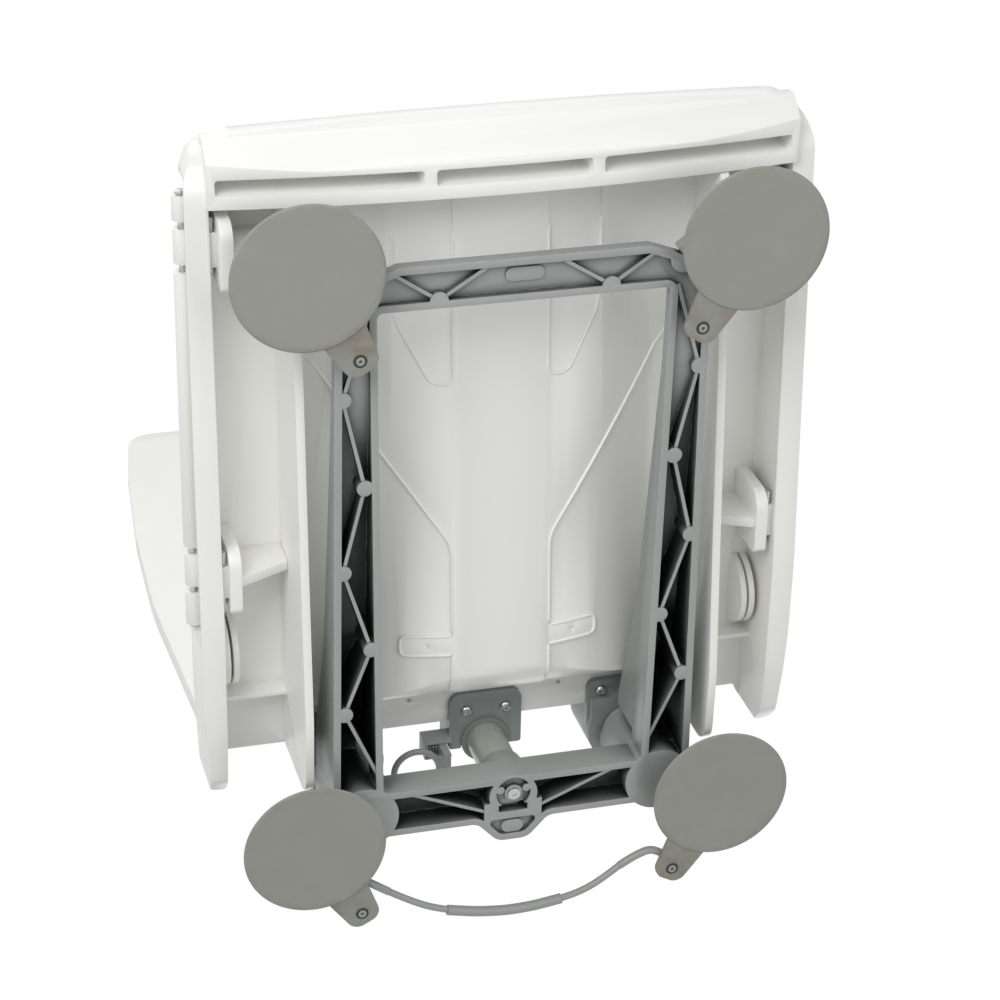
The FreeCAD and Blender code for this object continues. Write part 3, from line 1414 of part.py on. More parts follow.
def make_flap(side):
    """Return one side flap, folded up and leaning inwards."""
    plate = slab(flap_panel(), -FLAP_T / 2, FLAP_T / 2)
    wire = outline(flap_panel(), place_xy, -FLAP_T / 2 - 2.0)
    edge = Part.Face(wire).extrude(V(0, 0, FLAP_T / 2 + 2.0))
    inner = Part.Face(wire.makeOffset2D(-4.0)).extrude(V(0, 0, 12.0))
    edge = edge.cut(inner).cut(box(-10, 24.0, -400, 400, -20, 20))
    ribs = []
    for y in (-170.0, -120.0, -70.0, -20.0, 30.0):
        ribs.append(box(24.0, FLAP_W - 4.0, y - 1.2, y + 1.2, -FLAP_T / 2 - 1.8, 0))
    ribs.append(box(74.0, 76.4, FLAP_FRONT_Y + 40.0, FLAP_REAR_Y - 16.0, -FLAP_T / 2 - 1.8, 0))
    barrel = rod(KNUCKLE_R, (0, FLAP_FRONT_Y, 0), FLAP_REAR_Y - FLAP_FRONT_Y, Y)
    body = fuse([plate, edge, barrel] + ribs)
    for y in HINGE_Y:
        gap = box(-20.0, KNUCKLE_R + 7.0, y - HINGE_GAP / 2, y + HINGE_GAP / 2, -20, 20)
        body = body.cut(gap)
    body = body.cut(rod(ROD_R + RUN_GAP, (0, -400, 0), 600.0, Y))
    # Stand the flap up on its hinge line; the smooth face looks inwards
    body.rotate(V(0, 0, 0), Y, -(90.0 - FLAP_LEAN))
    body.translate(V(-HINGE_X, 0, HINGE_Z))
    return flip(body) if side > 0 else body


def make_hinge_rod(side):
    """Return one steel hinge rod with its upset heads."""
    length = FLAP_REAR_Y - FLAP_FRONT_Y
    bar = rod(ROD_R, (side * HINGE_X, FLAP_FRONT_Y - 1.0, HINGE_Z), length + 2.0, Y)
    head = rod(ROD_R + 1.4, (side * HINGE_X, FLAP_REAR_Y + 1.0, HINGE_Z), 1.6, Y)
    tail = rod(ROD_R + 1.4, (side * HINGE_X, FLAP_FRONT_Y - 2.6, HINGE_Z), 1.6, Y)
    return fuse([bar, head, tail])


def clip_low(y):
    """Return the height of the underside of a hinge clip's arm."""
    return rim_low(y) + SIDE_BEAD_H + 1.8


def make_hinge_clips(side):
    """Return the two T-shaped hinge brackets of one side."""
    clips = []
    for y in HINGE_Y:
        reach = CLIP_PLATE / 2.0
        plate = side_slab(
            [
                (y - reach, CLIP_LOW_Z, 13.0),
                (y + reach, CLIP_LOW_Z, 5.0),
                (y + reach, FLOOR_Z, 0),
                (y - reach, FLOOR_Z, 0),
            ],
            CLIP_X - CLIP_PLATE_T,
            CLIP_X,
        )
        half = CLIP_ARM / 2.0
        arm = box(CLIP_X - 1.0, HINGE_X - 2.0, y - half, y + half, clip_low(y), HINGE_Z + 5.0)
        eye = rod(KNUCKLE_R - 0.2, (HINGE_X, y - half, HINGE_Z), CLIP_ARM, Y)
        # Raked web that braces the plate against the fin
        rib = [
            (FIN_X + FIN_T / 2 + SNUG_GAP, 77.0, 0),
            (CLIP_X - CLIP_PLATE_T + 1.0, CLIP_LOW_Z + 2.0, 0),
            (CLIP_X - CLIP_PLATE_T + 1.0, FLOOR_Z, 0),
            (FIN_X + FIN_T / 2 + SNUG_GAP, FLOOR_Z, 0),
        ]
        web = Part.Face(outline(rib, place_xz, y - 3.5)).extrude(V(0, 7.0, 0))
        clip = fuse([plate, arm, eye, web])
        clip = clip.cut(rod(ROD_R, (HINGE_X, y - 30.0, HINGE_Z), 60.0, Y))
        clip = clip.cut(rod(CLIP_PIN_R, (clip_pin_x(), y - half - 1.0, clip_pin_z(y)), CLIP_ARM + 2.0, Y))
        clips.append(clip if side > 0 else flip(clip))
    return Part.makeCompound(clips)


def clip_pin_x():
    """Return the X of the steel pins in the hinge clips' arms."""
    return (CLIP_X + SEAT_WEB_X - SEAT_WEB_T) / 2.0


def clip_pin_z(y):
    """Return the height of the steel pin in the clip at the given y."""
    return clip_low(y) + CLIP_PIN_R + 2.4


def make_clip_pins():
    """Return the four steel pins that lock the hinge clips."""
    pins = []
    for side in (-1.0, 1.0):
        for y in HINGE_Y:
            start = y - CLIP_PLATE / 2.0 + 2.0
            at = (side * clip_pin_x(), start, clip_pin_z(y))
            pins.append(rod(CLIP_PIN_R, at, CLIP_PLATE - 8.0, Y))
    return Part.makeCompound(pins)


# Backrest
def back_half():
    """Return the right half of the backrest's outline, bottom to top."""
    return [
        (0.0, BACK_LOW_Z, 0),
        (188.0, BACK_LOW_Z, 14.0),
        (202.0, BACK_LOW_Z + 16.0, 18.0),
        (209.5, 300.0, 500.0),
        (205.0, 410.0, 400.0),
        (193.5, 527.0, 300.0),
        (183.0, BACK_TOP_Z, 24.0),
        (0.0, BACK_TOP_Z, 0),
    ]


def make_backrest():
    """Return the moulded backrest panel with its rim and saddles."""
    wire = outline(both_sides(back_half()), place_xz, BACK_Y)
    panel = Part.Face(wire).extrude(V(0, BACK_T, 0))
    inner = wire.makeOffset2D(-4.0)
    rim = Part.Face(wire).extrude(V(0, BACK_RIM + BACK_T, 0))
    rim = rim.cut(Part.Face(inner).extrude(V(0, 60, 0)))
    parts = [panel, rim]
    # Upright ribs beside the sleeves and cross ribs between them
    for side in (-1.0, 1.0):
        for x in (POST_X - SLEEVE_R - 2.0, POST_X + SLEEVE_R + 2.0):
            x0, x1 = sorted((side * (x - 1.5), side * (x + 1.5)))
            parts.append(box(x0, x1, BACK_Y + 1.0, BACK_Y + 13.0, 150.0, SLEEVE_TOP - 14.0))
        for z in STRAP_Z:
            x0, x1 = sorted((side * (POST_X - SADDLE_X), side * (POST_X + SADDLE_X)))
            saddle = box(x0, x1, BACK_Y + 1.0, POST_Y - 6.0, z - 9.0, z + 9.0)
            parts.append(saddle.cut(rod(SLEEVE_R, (side * POST_X, POST_Y, 100.0), 500.0)))
        for z in (140.0, 265.0, 395.0, YOKE_LOW - 23.0):
            x0, x1 = sorted((side * (POST_X + SLEEVE_R + 2.0), side * 199.0))
            web = box(x0, x1, BACK_Y + 1.0, BACK_Y + 11.0, z - 1.2, z + 1.2)
            parts.append(web.common(Part.Face(wire).extrude(V(0, 60, 0))))
    body = fuse(parts)
    for x, z in strap_screw_points():
        body = body.cut(rod(1.8, (x, POST_Y - 20.0, z), 30.0, Y))
    # Room for the drive tube and for the rings of the post brackets
    body = body.cut(rod(DRIVE_TUBE_R + AIR_GAP, (0, COLUMN_Y, 90.0), 60.0))
    for side in (-1.0, 1.0):
        ring_r = SLEEVE_R + BRACKET_WALL + AIR_GAP
        body = body.cut(rod(ring_r, (side * POST_X, POST_Y, 90.0), BRACKET_TOP - 90.0 + AIR_GAP))
    return body


def strap_screw_points():
    """Return the XZ points of the strap screws."""
    points = []
    for side in (-1.0, 1.0):
        for z in STRAP_Z:
            for share in (-1.0, 1.0):
                points.append((side * POST_X + share * (SADDLE_X - 3.9), z))
    return points


def make_straps():
    """Return the straps that hold the backrest to the sleeves."""
    solids = []
    for side in (-1.0, 1.0):
        x = side * POST_X
        for z in STRAP_Z:
            ring = rod(SLEEVE_R + 2.5, (x, POST_Y, z - 8.0), 16.0)
            feet = box(x - SADDLE_X, x + SADDLE_X, POST_Y - 6.0, POST_Y - 3.0, z - 8.0, z + 8.0)
            strap = ring.common(box(-200, 200, POST_Y - 6.0, 260, 0, 600)).fuse(feet)
            strap = strap.removeSplitter().cut(rod(SLEEVE_R, (x, POST_Y, 100.0), 500.0))
            solids.extend(strap.Solids)
    straps = Part.makeCompound(solids)
    for x, z in strap_screw_points():
        straps = straps.cut(rod(1.8, (x, POST_Y - 20.0, z), 30.0, Y))
    return straps


def make_strap_screws():
    """Return the screws that hold the straps to the backrest."""
    screws = []
    for x, z in strap_screw_points():
        screws.append(pan_screw((x, POST_Y - 3.0, z), 12.0, 1.8, Y, False))
    return Part.makeCompound(screws)


def main():
    """Build every node and write its STEP file."""
    os.makedirs("parts", exist_ok=True)
    for name, centre in cup_centres().items():
        save("cup_" + name, make_cup(centre))
    save("cup_studs", make_cup_studs())
    save("tab_pins", make_tab_pins())
    save("base_frame", add_ribs(make_base_frame()))
    save("frame_plug", make_frame_plug())
    save("foot_screw", make_foot_screw())
    save("piston_tube", make_piston())
    save("piston_plug", make_piston_plug())
    save("drive_nut", make_drive_nut())
    save("drive_tube", make_drive_tube())
    save("drive_collar", make_drive_collar())
    save("lead_screw", make_lead_screw())
    save("gear_wheel", make_wheel())
    save("motor_pinion", make_pinion())
    save("screw_bearings", make_screw_bearings())
    save("top_yoke", make_yoke())
    save("yoke_cap", make_yoke_cap())
    save("cap_screws", make_cap_screws())
    save("drive_housing", make_drive_housing())
    save("housing_front", make_housing_front())
    save("housing_screws", make_housing_screws())
    save("motor", make_motor())
    save("battery_pack", make_battery())
    save("control_board", make_control_board())
    save("control_socket", make_control_socket())
    save("release_slider", make_release_slider())
    save("release_housing", make_release_housing())
    save("release_spring", make_release_spring())
    save("release_cord", make_cord())
    save("cord_grip", make_cord_grip())
    save("cord_ends", make_cord_ends())
    for side, label in ((-1.0, "left"), (1.0, "right")):
        save("guide_post_" + label, make_guide_post(side))
        save("post_cap_" + label, make_post_cap(side))
        save("guide_sleeve_" + label, make_sleeve(side))
        save("sleeve_bush_" + label, make_sleeve_bush(side))
        save("post_bracket_" + label, make_post_bracket(side))
        save("flap_" + label, make_flap(side))
        save("hinge_rod_" + label, make_hinge_rod(side))
        save("hinge_clips_" + label, make_hinge_clips(side))
    save("clip_pins", make_clip_pins())
    save("centre_bracket", make_centre_bracket())
    save("bracket_screws", make_bracket_screws())
    save("seat", finish_seat(emboss_seat(seat_details(make_seat()))))
    save("backrest", make_backrest())
    save("back_straps", make_straps())
    save("strap_screws", make_strap_screws())


main()
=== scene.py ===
"""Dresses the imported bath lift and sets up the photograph's view of it.

All lengths are in metres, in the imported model's frame: Z is up, Y points from
the seat's front edge to the backrest, and the origin is on the bath floor
midway between the four suction cups.
"""

import logging
import math
from dataclasses import dataclass, field
from enum import Enum

import bmesh
import bpy
from mathutils import Matrix, Vector
from mathutils.bvhtree import BVHTree


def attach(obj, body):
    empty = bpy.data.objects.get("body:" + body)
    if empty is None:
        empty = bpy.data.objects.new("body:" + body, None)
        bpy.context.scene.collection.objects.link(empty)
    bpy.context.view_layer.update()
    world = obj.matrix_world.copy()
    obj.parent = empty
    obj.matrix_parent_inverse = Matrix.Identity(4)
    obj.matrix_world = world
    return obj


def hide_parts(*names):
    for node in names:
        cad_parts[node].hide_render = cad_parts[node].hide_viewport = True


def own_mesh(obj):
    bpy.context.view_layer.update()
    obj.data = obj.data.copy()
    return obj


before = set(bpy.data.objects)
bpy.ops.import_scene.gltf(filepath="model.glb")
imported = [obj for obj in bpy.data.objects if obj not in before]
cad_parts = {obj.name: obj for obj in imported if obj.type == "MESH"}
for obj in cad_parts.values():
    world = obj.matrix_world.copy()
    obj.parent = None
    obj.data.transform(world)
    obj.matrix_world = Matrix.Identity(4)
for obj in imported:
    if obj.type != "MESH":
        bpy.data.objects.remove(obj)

logging.basicConfig(level=logging.INFO, format="%(message)s")
log = logging.getLogger("bath_lift")

MM = 0.001
CUP_CENTRE = (147.3 * MM, 212.8 * MM)
COLUMN_Y = 205.0 * MM
POST_CENTRE = (107.0 * MM, 208.0 * MM)
# A wave texture of scale 1 repeats every 0.314 of a length unit
WAVE_REPEAT = 0.314


class Spread(Enum):
    """Which coordinates a pattern is laid out in."""

    ROUND_CUP = "rings about the nearest cup's centre"
    ROUND_POST = "rings along the nearest upright column"
    PLAIN = "the frame's own coordinates"


def linear(hex_colour: str) -> tuple[float, float, float, float]:
    """Turn an sRGB hex colour into a linear one.

    Args:
        hex_colour: six hex digits, with or without a leading hash.

    Returns:
        Linear red, green and blue with an alpha of 1.
    """
    digits = hex_colour.lstrip("#")
    channels = []
    for i in (0, 2, 4):
        value = int(digits[i:i + 2], 16) / 255.0
        if value <= 0.04045:
            channels.append(value / 12.92)
        else:
            channels.append(((value + 0.055) / 1.055) ** 2.4)
    return (channels[0], channels[1], channels[2], 1.0)


def add_node(
    tree: bpy.types.NodeTree,
    kind: str,
    settings: dict[str, object] | None = None,
    links: dict[str, bpy.types.NodeSocket] | None = None,
) -> bpy.types.Node:
    """Add one shader node with its settings and its incoming links.

    Args:
        tree: the node tree to add to.
        kind: the node's type name.
        settings: values by attribute name, or by input name or number.
        links: outgoing sockets of other nodes by this node's input name.

    Returns:
        The new node.
    """
    made = tree.nodes.new(kind)
    for name, value in (settings or {}).items():
        if hasattr(made, str(name)):
            setattr(made, name, value)
        else:
            key = int(name) if str(name).isdigit() else name
            made.inputs[key].default_value = value
    for name, socket in (links or {}).items():
        key = int(name) if str(name).isdigit() else name
        tree.links.new(socket, made.inputs[key])
    return made


def pattern_vector(tree: bpy.types.NodeTree, spread: Spread) -> bpy.types.NodeSocket:
    """Give the coordinates that a pattern is laid out in.

    Args:
        tree: the material's node tree.
        spread: the kind of layout.

    Returns:
        A vector socket in metres.
    """
    place = add_node(tree, "ShaderNodeTexCoord").outputs["Object"]
    if spread is Spread.PLAIN:
        return place
    centre = CUP_CENTRE if spread is Spread.ROUND_CUP else POST_CENTRE
    folded = add_node(tree, "ShaderNodeVectorMath", {"operation": "ABSOLUTE"}, {"0": place})
    moved = add_node(
        tree,
        "ShaderNodeVectorMath",
        {"operation": "SUBTRACT", "1": (centre[0], centre[1], 0.0)},
        {"0": folded.outputs[0]},
    )
    return moved.outputs[0]


@dataclass(frozen=True)
class Finish:
    """A moulded, cast, turned or coated surface with grain, tone, wear and painted shade in its
    hollows.

    Attributes:
        name: the material and how it was made.
        colour: its main sRGB colour.
        other: the sRGB colour that it drifts to in broad patches.
        roughness: its mean roughness.
        slot: the record's material slot; not used.
        drift: how far the roughness wanders to either side.
        metallic: 1 for bare metal, and 0 for what is not metal.
        grain_mm: the size of the fine grain.
        grain_lift_mm: the height of the fine grain.
        patch_mm: the size of the broad patches.
        wave_mm: the size of the slow waviness that moulding or casting leaves.
        wave_lift_mm: the height of that waviness.
        spread: the layout of the tool marks.
        ring_mm: the spacing of turned or drawn rings, and 0 for none.
        ring_lift_mm: the height of those rings.
        speck: the share of the surface with dust or scuff specks.
        speck_mm: the size of the specks.
        speck_colour: the sRGB colour of the specks.
        hollow_mm: how far the painted shade in hollows reaches, and 0 for none.
        hollow_colour: the sRGB colour of the painted shade in the hollows.
        hollow_from: the open share of the sky at which the painted shade starts.
        edge_mm: the width of the pale wear along edges, and 0 for none.
        edge_colour: the sRGB colour of that wear.
        edge_patch_mm: the size of the breaks in that wear.
        stain_mm: how far from a cup's centre stains start and are full, or zeros.
        stain_colour: the sRGB colour of those stains.
        stain_patch_mm: the size of the breaks in those stains.
    """

    name: str
    colour: str
    other: str
    roughness: float
    slot: str
    drift: float = 0.05
    metallic: float = 0.0
    grain_mm: float = 0.6
    grain_lift_mm: float = 0.01
    patch_mm: float = 70.0
    wave_mm: float = 40.0
    wave_lift_mm: float = 0.05
    spread: Spread = Spread.PLAIN
    ring_mm: float = 0.0
    ring_lift_mm: float = 0.0
    speck: float = 0.0
    speck_mm: float = 2.2
    speck_colour: str = "#FFFFFF"
    hollow_mm: float = 0.0
    hollow_colour: str = "#2C2E2E"
    hollow_from: float = 0.62
    edge_mm: float = 0.0
    edge_colour: str = "#C9CCC9"
    edge_patch_mm: float = 7.0
    stain_mm: tuple[float, float] = (0.0, 0.0)
    stain_colour: str = "#8B7D6C"
    stain_patch_mm: float = 26.0

    def build(self) -> bpy.types.Material:
        """Make the Blender material.

        Returns:
            The material, with its nodes in place.
        """
        made = bpy.data.materials.new(self.name)
        made.use_nodes = True
        tree = made.node_tree
        tree.nodes.clear()
        place = pattern_vector(tree, Spread.PLAIN)
        colour = self._marked(tree, place, self._colour(tree, place))
        surface = add_node(
            tree,
            "ShaderNodeBsdfPrincipled",
            {"Metallic": self.metallic},
            {
                "Base Color": colour,
                "Roughness": self._roughness(tree, place),
                "Normal": self._relief(tree, place),
            },
        )
        add_node(tree, "ShaderNodeOutputMaterial", None, {"Surface": surface.outputs[0]})
        return made

    def _colour(
        self, tree: bpy.types.NodeTree, place: bpy.types.NodeSocket
    ) -> bpy.types.NodeSocket:
        """Lay the broad patches and the specks of the colour.

        Args:
            tree: the material's node tree.
            place: the coordinates.

        Returns:
            The colour socket.
        """
        patch = add_node(
            tree,
            "ShaderNodeTexNoise",
            {"Scale": 1.0 / (self.patch_mm * MM), "Detail": 4.0, "Roughness": 0.6},
            {"Vector": place},
        )
        mixed = add_node(
            tree,
            "ShaderNodeMix",
            {"data_type": "RGBA", "6": linear(self.colour), "7": linear(self.other)},
            {"0": patch.outputs[0]},
        )
        if self.speck <= 0.0:
            return mixed.outputs[2]
        dots = add_node(
            tree,
            "ShaderNodeTexNoise",
            {"Scale": 1.0 / (self.speck_mm * MM), "Detail": 6.0, "Roughness": 0.75},
            {"Vector": place},
        )
        edge = 0.5 + 0.22 * (1.0 - self.speck)
        share = add_node(
            tree,
            "ShaderNodeMapRange",
            {"From Min": edge, "From Max": edge + 0.08, "To Min": 0.0, "To Max": 0.55},
            {"Value": dots.outputs[0]},
        )
        flecked = add_node(
            tree,
            "ShaderNodeMix",
            {"data_type": "RGBA", "7": linear(self.speck_colour)},
            {"0": share.outputs[0], "6": mixed.outputs[2]},
        )
        return flecked.outputs[2]

    def _marked(
        self,
        tree: bpy.types.NodeTree,
        place: bpy.types.NodeSocket,
        colour: bpy.types.NodeSocket,
    ) -> bpy.types.NodeSocket:
        """Paint shade into the hollows, stain the rim of a cup and wear the edges pale.

        Args:
            tree: the material's node tree.
            place: the coordinates.
            colour: the colour so far.

        Returns:
            The colour socket.
        """
        if self.stain_mm[1] > 0.0:
            span = add_node(
                tree,
                "ShaderNodeVectorMath",
                {"operation": "LENGTH"},
                {"0": pattern_vector(tree, Spread.ROUND_CUP)},
            )
            ring = add_node(
                tree,
                "ShaderNodeMapRange",
                {"From Min": self.stain_mm[0] * MM, "From Max": self.stain_mm[1] * MM},
                {"Value": span.outputs["Value"]},
            )
            colour = self._blend(
                tree, place, colour, ring.outputs[0], self.stain_colour, self.stain_patch_mm
            )
        # Painted shade: the colour drifts to the hollow colour where the part's own ambient
        # occlusion closes in.
        if self.hollow_mm > 0.0:
            open_share = add_node(
                tree,
                "ShaderNodeAmbientOcclusion",
                {"only_local": True, "samples": 8, "Distance": self.hollow_mm * MM},
            )
            painted_shade_share = add_node(
                tree,
                "ShaderNodeMapRange",
                {"From Min": self.hollow_from, "From Max": self.hollow_from - 0.5},
                {"Value": open_share.outputs["AO"]},
            )
            colour = self._blend(tree, place, colour, painted_shade_share.outputs[0], self.hollow_colour, 0.0)
        if self.edge_mm > 0.0:
            rounded = add_node(
                tree, "ShaderNodeBevel", {"samples": 4, "Radius": self.edge_mm * MM}
            )
            flat = add_node(tree, "ShaderNodeNewGeometry")
            agree = add_node(
                tree,
                "ShaderNodeVectorMath",
                {"operation": "DOT_PRODUCT"},
                {"0": rounded.outputs[0], "1": flat.outputs["Normal"]},
            )
            worn = add_node(
                tree,
                "ShaderNodeMapRange",
                {"From Min": 0.98, "From Max": 0.80},
                {"Value": agree.outputs["Value"]},
            )
            colour = self._blend(
                tree, place, colour, worn.outputs[0], self.edge_colour, self.edge_patch_mm
            )
        return colour

    def _blend(
        self,
        tree: bpy.types.NodeTree,
        place: bpy.types.NodeSocket,
        colour: bpy.types.NodeSocket,
        share: bpy.types.NodeSocket,
        other: str,
        broken_mm: float,
    ) -> bpy.types.NodeSocket:
        """Lay another colour over a share of the surface.

        Args:
            tree: the material's node tree.
            place: the coordinates.
            colour: the colour so far.
            share: how much of the other colour shows.
            other: the other sRGB colour.
            broken_mm: the size of the breaks in it, and 0 for an even layer.

        Returns:
            The colour socket.
        """
        if broken_mm > 0.0:
            breaks = add_node(
                tree,
                "ShaderNodeTexNoise",
                {"Scale": 1.0 / (broken_mm * MM), "Detail": 5.0, "Roughness": 0.65},
                {"Vector": place},
            )
            kept = add_node(
                tree,
                "ShaderNodeMapRange",
                {"From Min": 0.44, "From Max": 0.66},
                {"Value": breaks.outputs[0]},
            )
            share = add_node(
                tree,
                "ShaderNodeMath",
                {"operation": "MULTIPLY"},
                {"0": share, "1": kept.outputs[0]},
            ).outputs[0]
        laid = add_node(
            tree,
            "ShaderNodeMix",
            {"data_type": "RGBA", "7": linear(other)},
            {"0": share, "6": colour},
        )
        return laid.outputs[2]

    def _roughness(
        self, tree: bpy.types.NodeTree, place: bpy.types.NodeSocket
    ) -> bpy.types.NodeSocket:
        """Let the roughness wander about its mean.

        Args:
            tree: the material's node tree.
            place: the coordinates.

        Returns:
            The roughness socket.
        """
        patch = add_node(
            tree,
            "ShaderNodeTexNoise",
            {"Scale": 1.0 / (self.patch_mm * 0.35 * MM), "Detail": 5.0},
            {"Vector": place},
        )
        spread = add_node(
            tree,
            "ShaderNodeMapRange",
            {
                "From Min": 0.3,
                "From Max": 0.7,
                "To Min": self.roughness - self.drift,
                "To Max": self.roughness + self.drift,
            },
            {"Value": patch.outputs[0]},
        )
        return spread.outputs[0]

    def _relief(
        self, tree: bpy.types.NodeTree, place: bpy.types.NodeSocket
    ) -> bpy.types.NodeSocket:
        """Stack the slow waviness, the fine grain and the tool rings.

        Args:
            tree: the material's node tree.
            place: the coordinates.

        Returns:
            The normal socket.
        """
        wave = add_node(
            tree,
            "ShaderNodeTexNoise",
            {"Scale": 1.0 / (self.wave_mm * MM), "Detail": 1.0},
            {"Vector": place},
        )
        low = add_node(
            tree,
            "ShaderNodeBump",
            {"Strength": 1.0, "Distance": self.wave_lift_mm * MM},
            {"Height": wave.outputs[0]},
        )
        grain = add_node(
            tree,
            "ShaderNodeTexNoise",
            {"Scale": 1.0 / (self.grain_mm * MM), "Detail": 2.0},
            {"Vector": place},
        )
        fine = add_node(
            tree,
            "ShaderNodeBump",
            {"Strength": 1.0, "Distance": self.grain_lift_mm * MM},
            {"Height": grain.outputs[0], "Normal": low.outputs[0]},
        )
        if self.ring_mm <= 0.0:
            return fine.outputs[0]
        if self.spread is Spread.ROUND_CUP:
            layout = {"wave_type": "RINGS", "rings_direction": "SPHERICAL"}
        else:
            layout = {"wave_type": "BANDS", "bands_direction": "Z"}
        scale = WAVE_REPEAT / (self.ring_mm * MM)
        rings = add_node(
            tree,
            "ShaderNodeTexWave",
            layout | {"Scale": scale, "Distortion": 0.4, "Detail": 2.0},
            {"Vector": pattern_vector(tree, self.spread)},
        )
        turned = add_node(
            tree,
            "ShaderNodeBump",
            {"Strength": 1.0, "Distance": self.ring_lift_mm * MM},
            {"Height": rings.outputs[0], "Normal": fine.outputs[0]},
        )
        return turned.outputs[0]


# Polypropylene, injection moulded with a spark-eroded satin grain: soft wide highlights
WHITE_MOULDING = Finish(
    "satin_white_polypropylene", "#F3F3F0", "#EFEFEB", 0.34, "white_plastic",
    grain_mm=0.8, grain_lift_mm=0.012, wave_mm=55.0, wave_lift_mm=0.10,
    # Painted shade: creases and recesses of the white moulding go a warm grey.
    hollow_mm=9.0, hollow_colour="#D6D5C9",
)
# Aluminium die casting under grey powder coat: a fine orange peel and soft sheen
COATED_CASTING = Finish(
    "powder_coated_die_casting", "#A2A5A3", "#969A98", 0.36, "frame_metal",
    metallic=0.1, grain_mm=1.4, grain_lift_mm=0.03, wave_mm=18.0, wave_lift_mm=0.05,
    speck=0.05, speck_colour="#BDC0BD",
    # Painted shade: the channels and pockets go near black where the casting closes over them.
    hollow_mm=45.0, hollow_colour="#1D1F1F", hollow_from=0.84,
    edge_mm=0.9, edge_colour="#C6C9C6",
)
# The brackets are a darker batch of the same coat
COATED_BRACKET = Finish(
    "powder_coated_bracket", "#8A9090", "#808686", 0.36, "bracket_metal",
    metallic=0.1, grain_mm=1.2, grain_lift_mm=0.025, wave_mm=16.0, wave_lift_mm=0.04,
    speck=0.05, speck_colour="#A2A7A6",
    # Painted shade: the bracket's recesses go dark grey.
    hollow_mm=14.0, hollow_colour="#3A3E3E", edge_mm=0.7, edge_colour="#B4B8B7",
)
# Natural rubber, moulded in a turned tool: dull, with faint rings and dust
CUP_RUBBER = Finish(
    "moulded_grey_rubber", "#95978F", "#8B8D86", 0.58, "cup_rubber",
    grain_mm=1.0, grain_lift_mm=0.03, wave_mm=30.0, wave_lift_mm=0.06, patch_mm=22.0,
    spread=Spread.ROUND_CUP, ring_mm=1.6, ring_lift_mm=0.006,
    speck=0.30, speck_colour="#A3A49D", stain_mm=(44.0, 54.0), stain_colour="#857B6D",
    edge_mm=0.4, edge_colour="#A9AAA4",
)
# Aluminium tube, drawn and natural anodised: satin with faint bands round it
ANODISED_TUBE = Finish(
    "natural_anodised_tube", "#C0C4BB", "#B5BAB1", 0.32, "tube_metal",
    metallic=0.45, grain_mm=0.7, grain_lift_mm=0.008, wave_mm=60.0, wave_lift_mm=0.02,
    spread=Spread.ROUND_POST, ring_mm=1.2, ring_lift_mm=0.003,
    speck=0.04, speck_colour="#8E928E",
)
# Steel, turned and zinc plated: bright, with a tight highlight
PLATED_STEEL = Finish(
    "zinc_plated_steel", "#C6C7C4", "#B4B6B4", 0.28, "steel",
    metallic=1.0, grain_mm=0.5, grain_lift_mm=0.006, patch_mm=9.0,
    wave_mm=12.0, wave_lift_mm=0.01,
)
# Steel pin, zinc plated and dulled by water: a soft grey disc
DULLED_STEEL = Finish(
    "dulled_zinc_plate", "#9B9D99", "#8B8D89", 0.52, "steel",
    metallic=0.5, grain_mm=0.5, grain_lift_mm=0.01, patch_mm=4.0,
)
# Painted shadow: a thin dark ring round each pin under its tab, coloured like blackened steel
SHADOW_RING_FINISH = Finish(
    "painted_shadow_ring", "#33342F", "#2B2C29", 0.50, "steel",
    metallic=0.2, grain_mm=0.5, grain_lift_mm=0.01, patch_mm=4.0,
)
# Nylon, moulded in grey: close and even
GREY_NYLON = Finish(
    "moulded_grey_nylon", "#80837F", "#787B78", 0.46, "grey_plastic",
    grain_mm=0.7, grain_lift_mm=0.012, wave_mm=20.0, wave_lift_mm=0.03,
)
# Bronze, turned: warm, with a dull film
TURNED_BRONZE = Finish(
    "turned_bronze", "#B79A5E", "#A5884D", 0.32, "bronze",
    metallic=1.0, grain_mm=0.5, grain_lift_mm=0.006, patch_mm=8.0,
)
# Acetal, moulded in mid grey: slightly waxy
GREY_ACETAL = Finish(
    "moulded_grey_acetal", "#9FA3A1", "#959997", 0.38, "latch_plastic",
    grain_mm=0.6, grain_lift_mm=0.01, wave_mm=15.0, wave_lift_mm=0.02,
    # Painted shade: the release parts' recesses go dark grey.
    hollow_mm=6.0, hollow_colour="#4A4E4E",
)
# Heat-shrink sleeve round the cells: glossy and tight
SHRINK_SLEEVE = Finish(
    "shrink_sleeve", "#27405F", "#233A57", 0.24, "cell_wrap",
    grain_mm=1.5, grain_lift_mm=0.02, wave_mm=12.0, wave_lift_mm=0.10,
)
# Glass-filled board under solder resist
SOLDER_RESIST = Finish(
    "solder_resist", "#1E5A36", "#1A5131", 0.35, "board_green",
    grain_mm=0.8, grain_lift_mm=0.012, patch_mm=12.0,
)
# Vinyl cover of the cord: smooth, with a broad soft highlight
VINYL_COVER = Finish(
    "extruded_grey_vinyl", "#9A9D9A", "#909390", 0.36, "cord_cover",
    grain_mm=0.6, grain_lift_mm=0.008, wave_mm=9.0, wave_lift_mm=0.05,
)


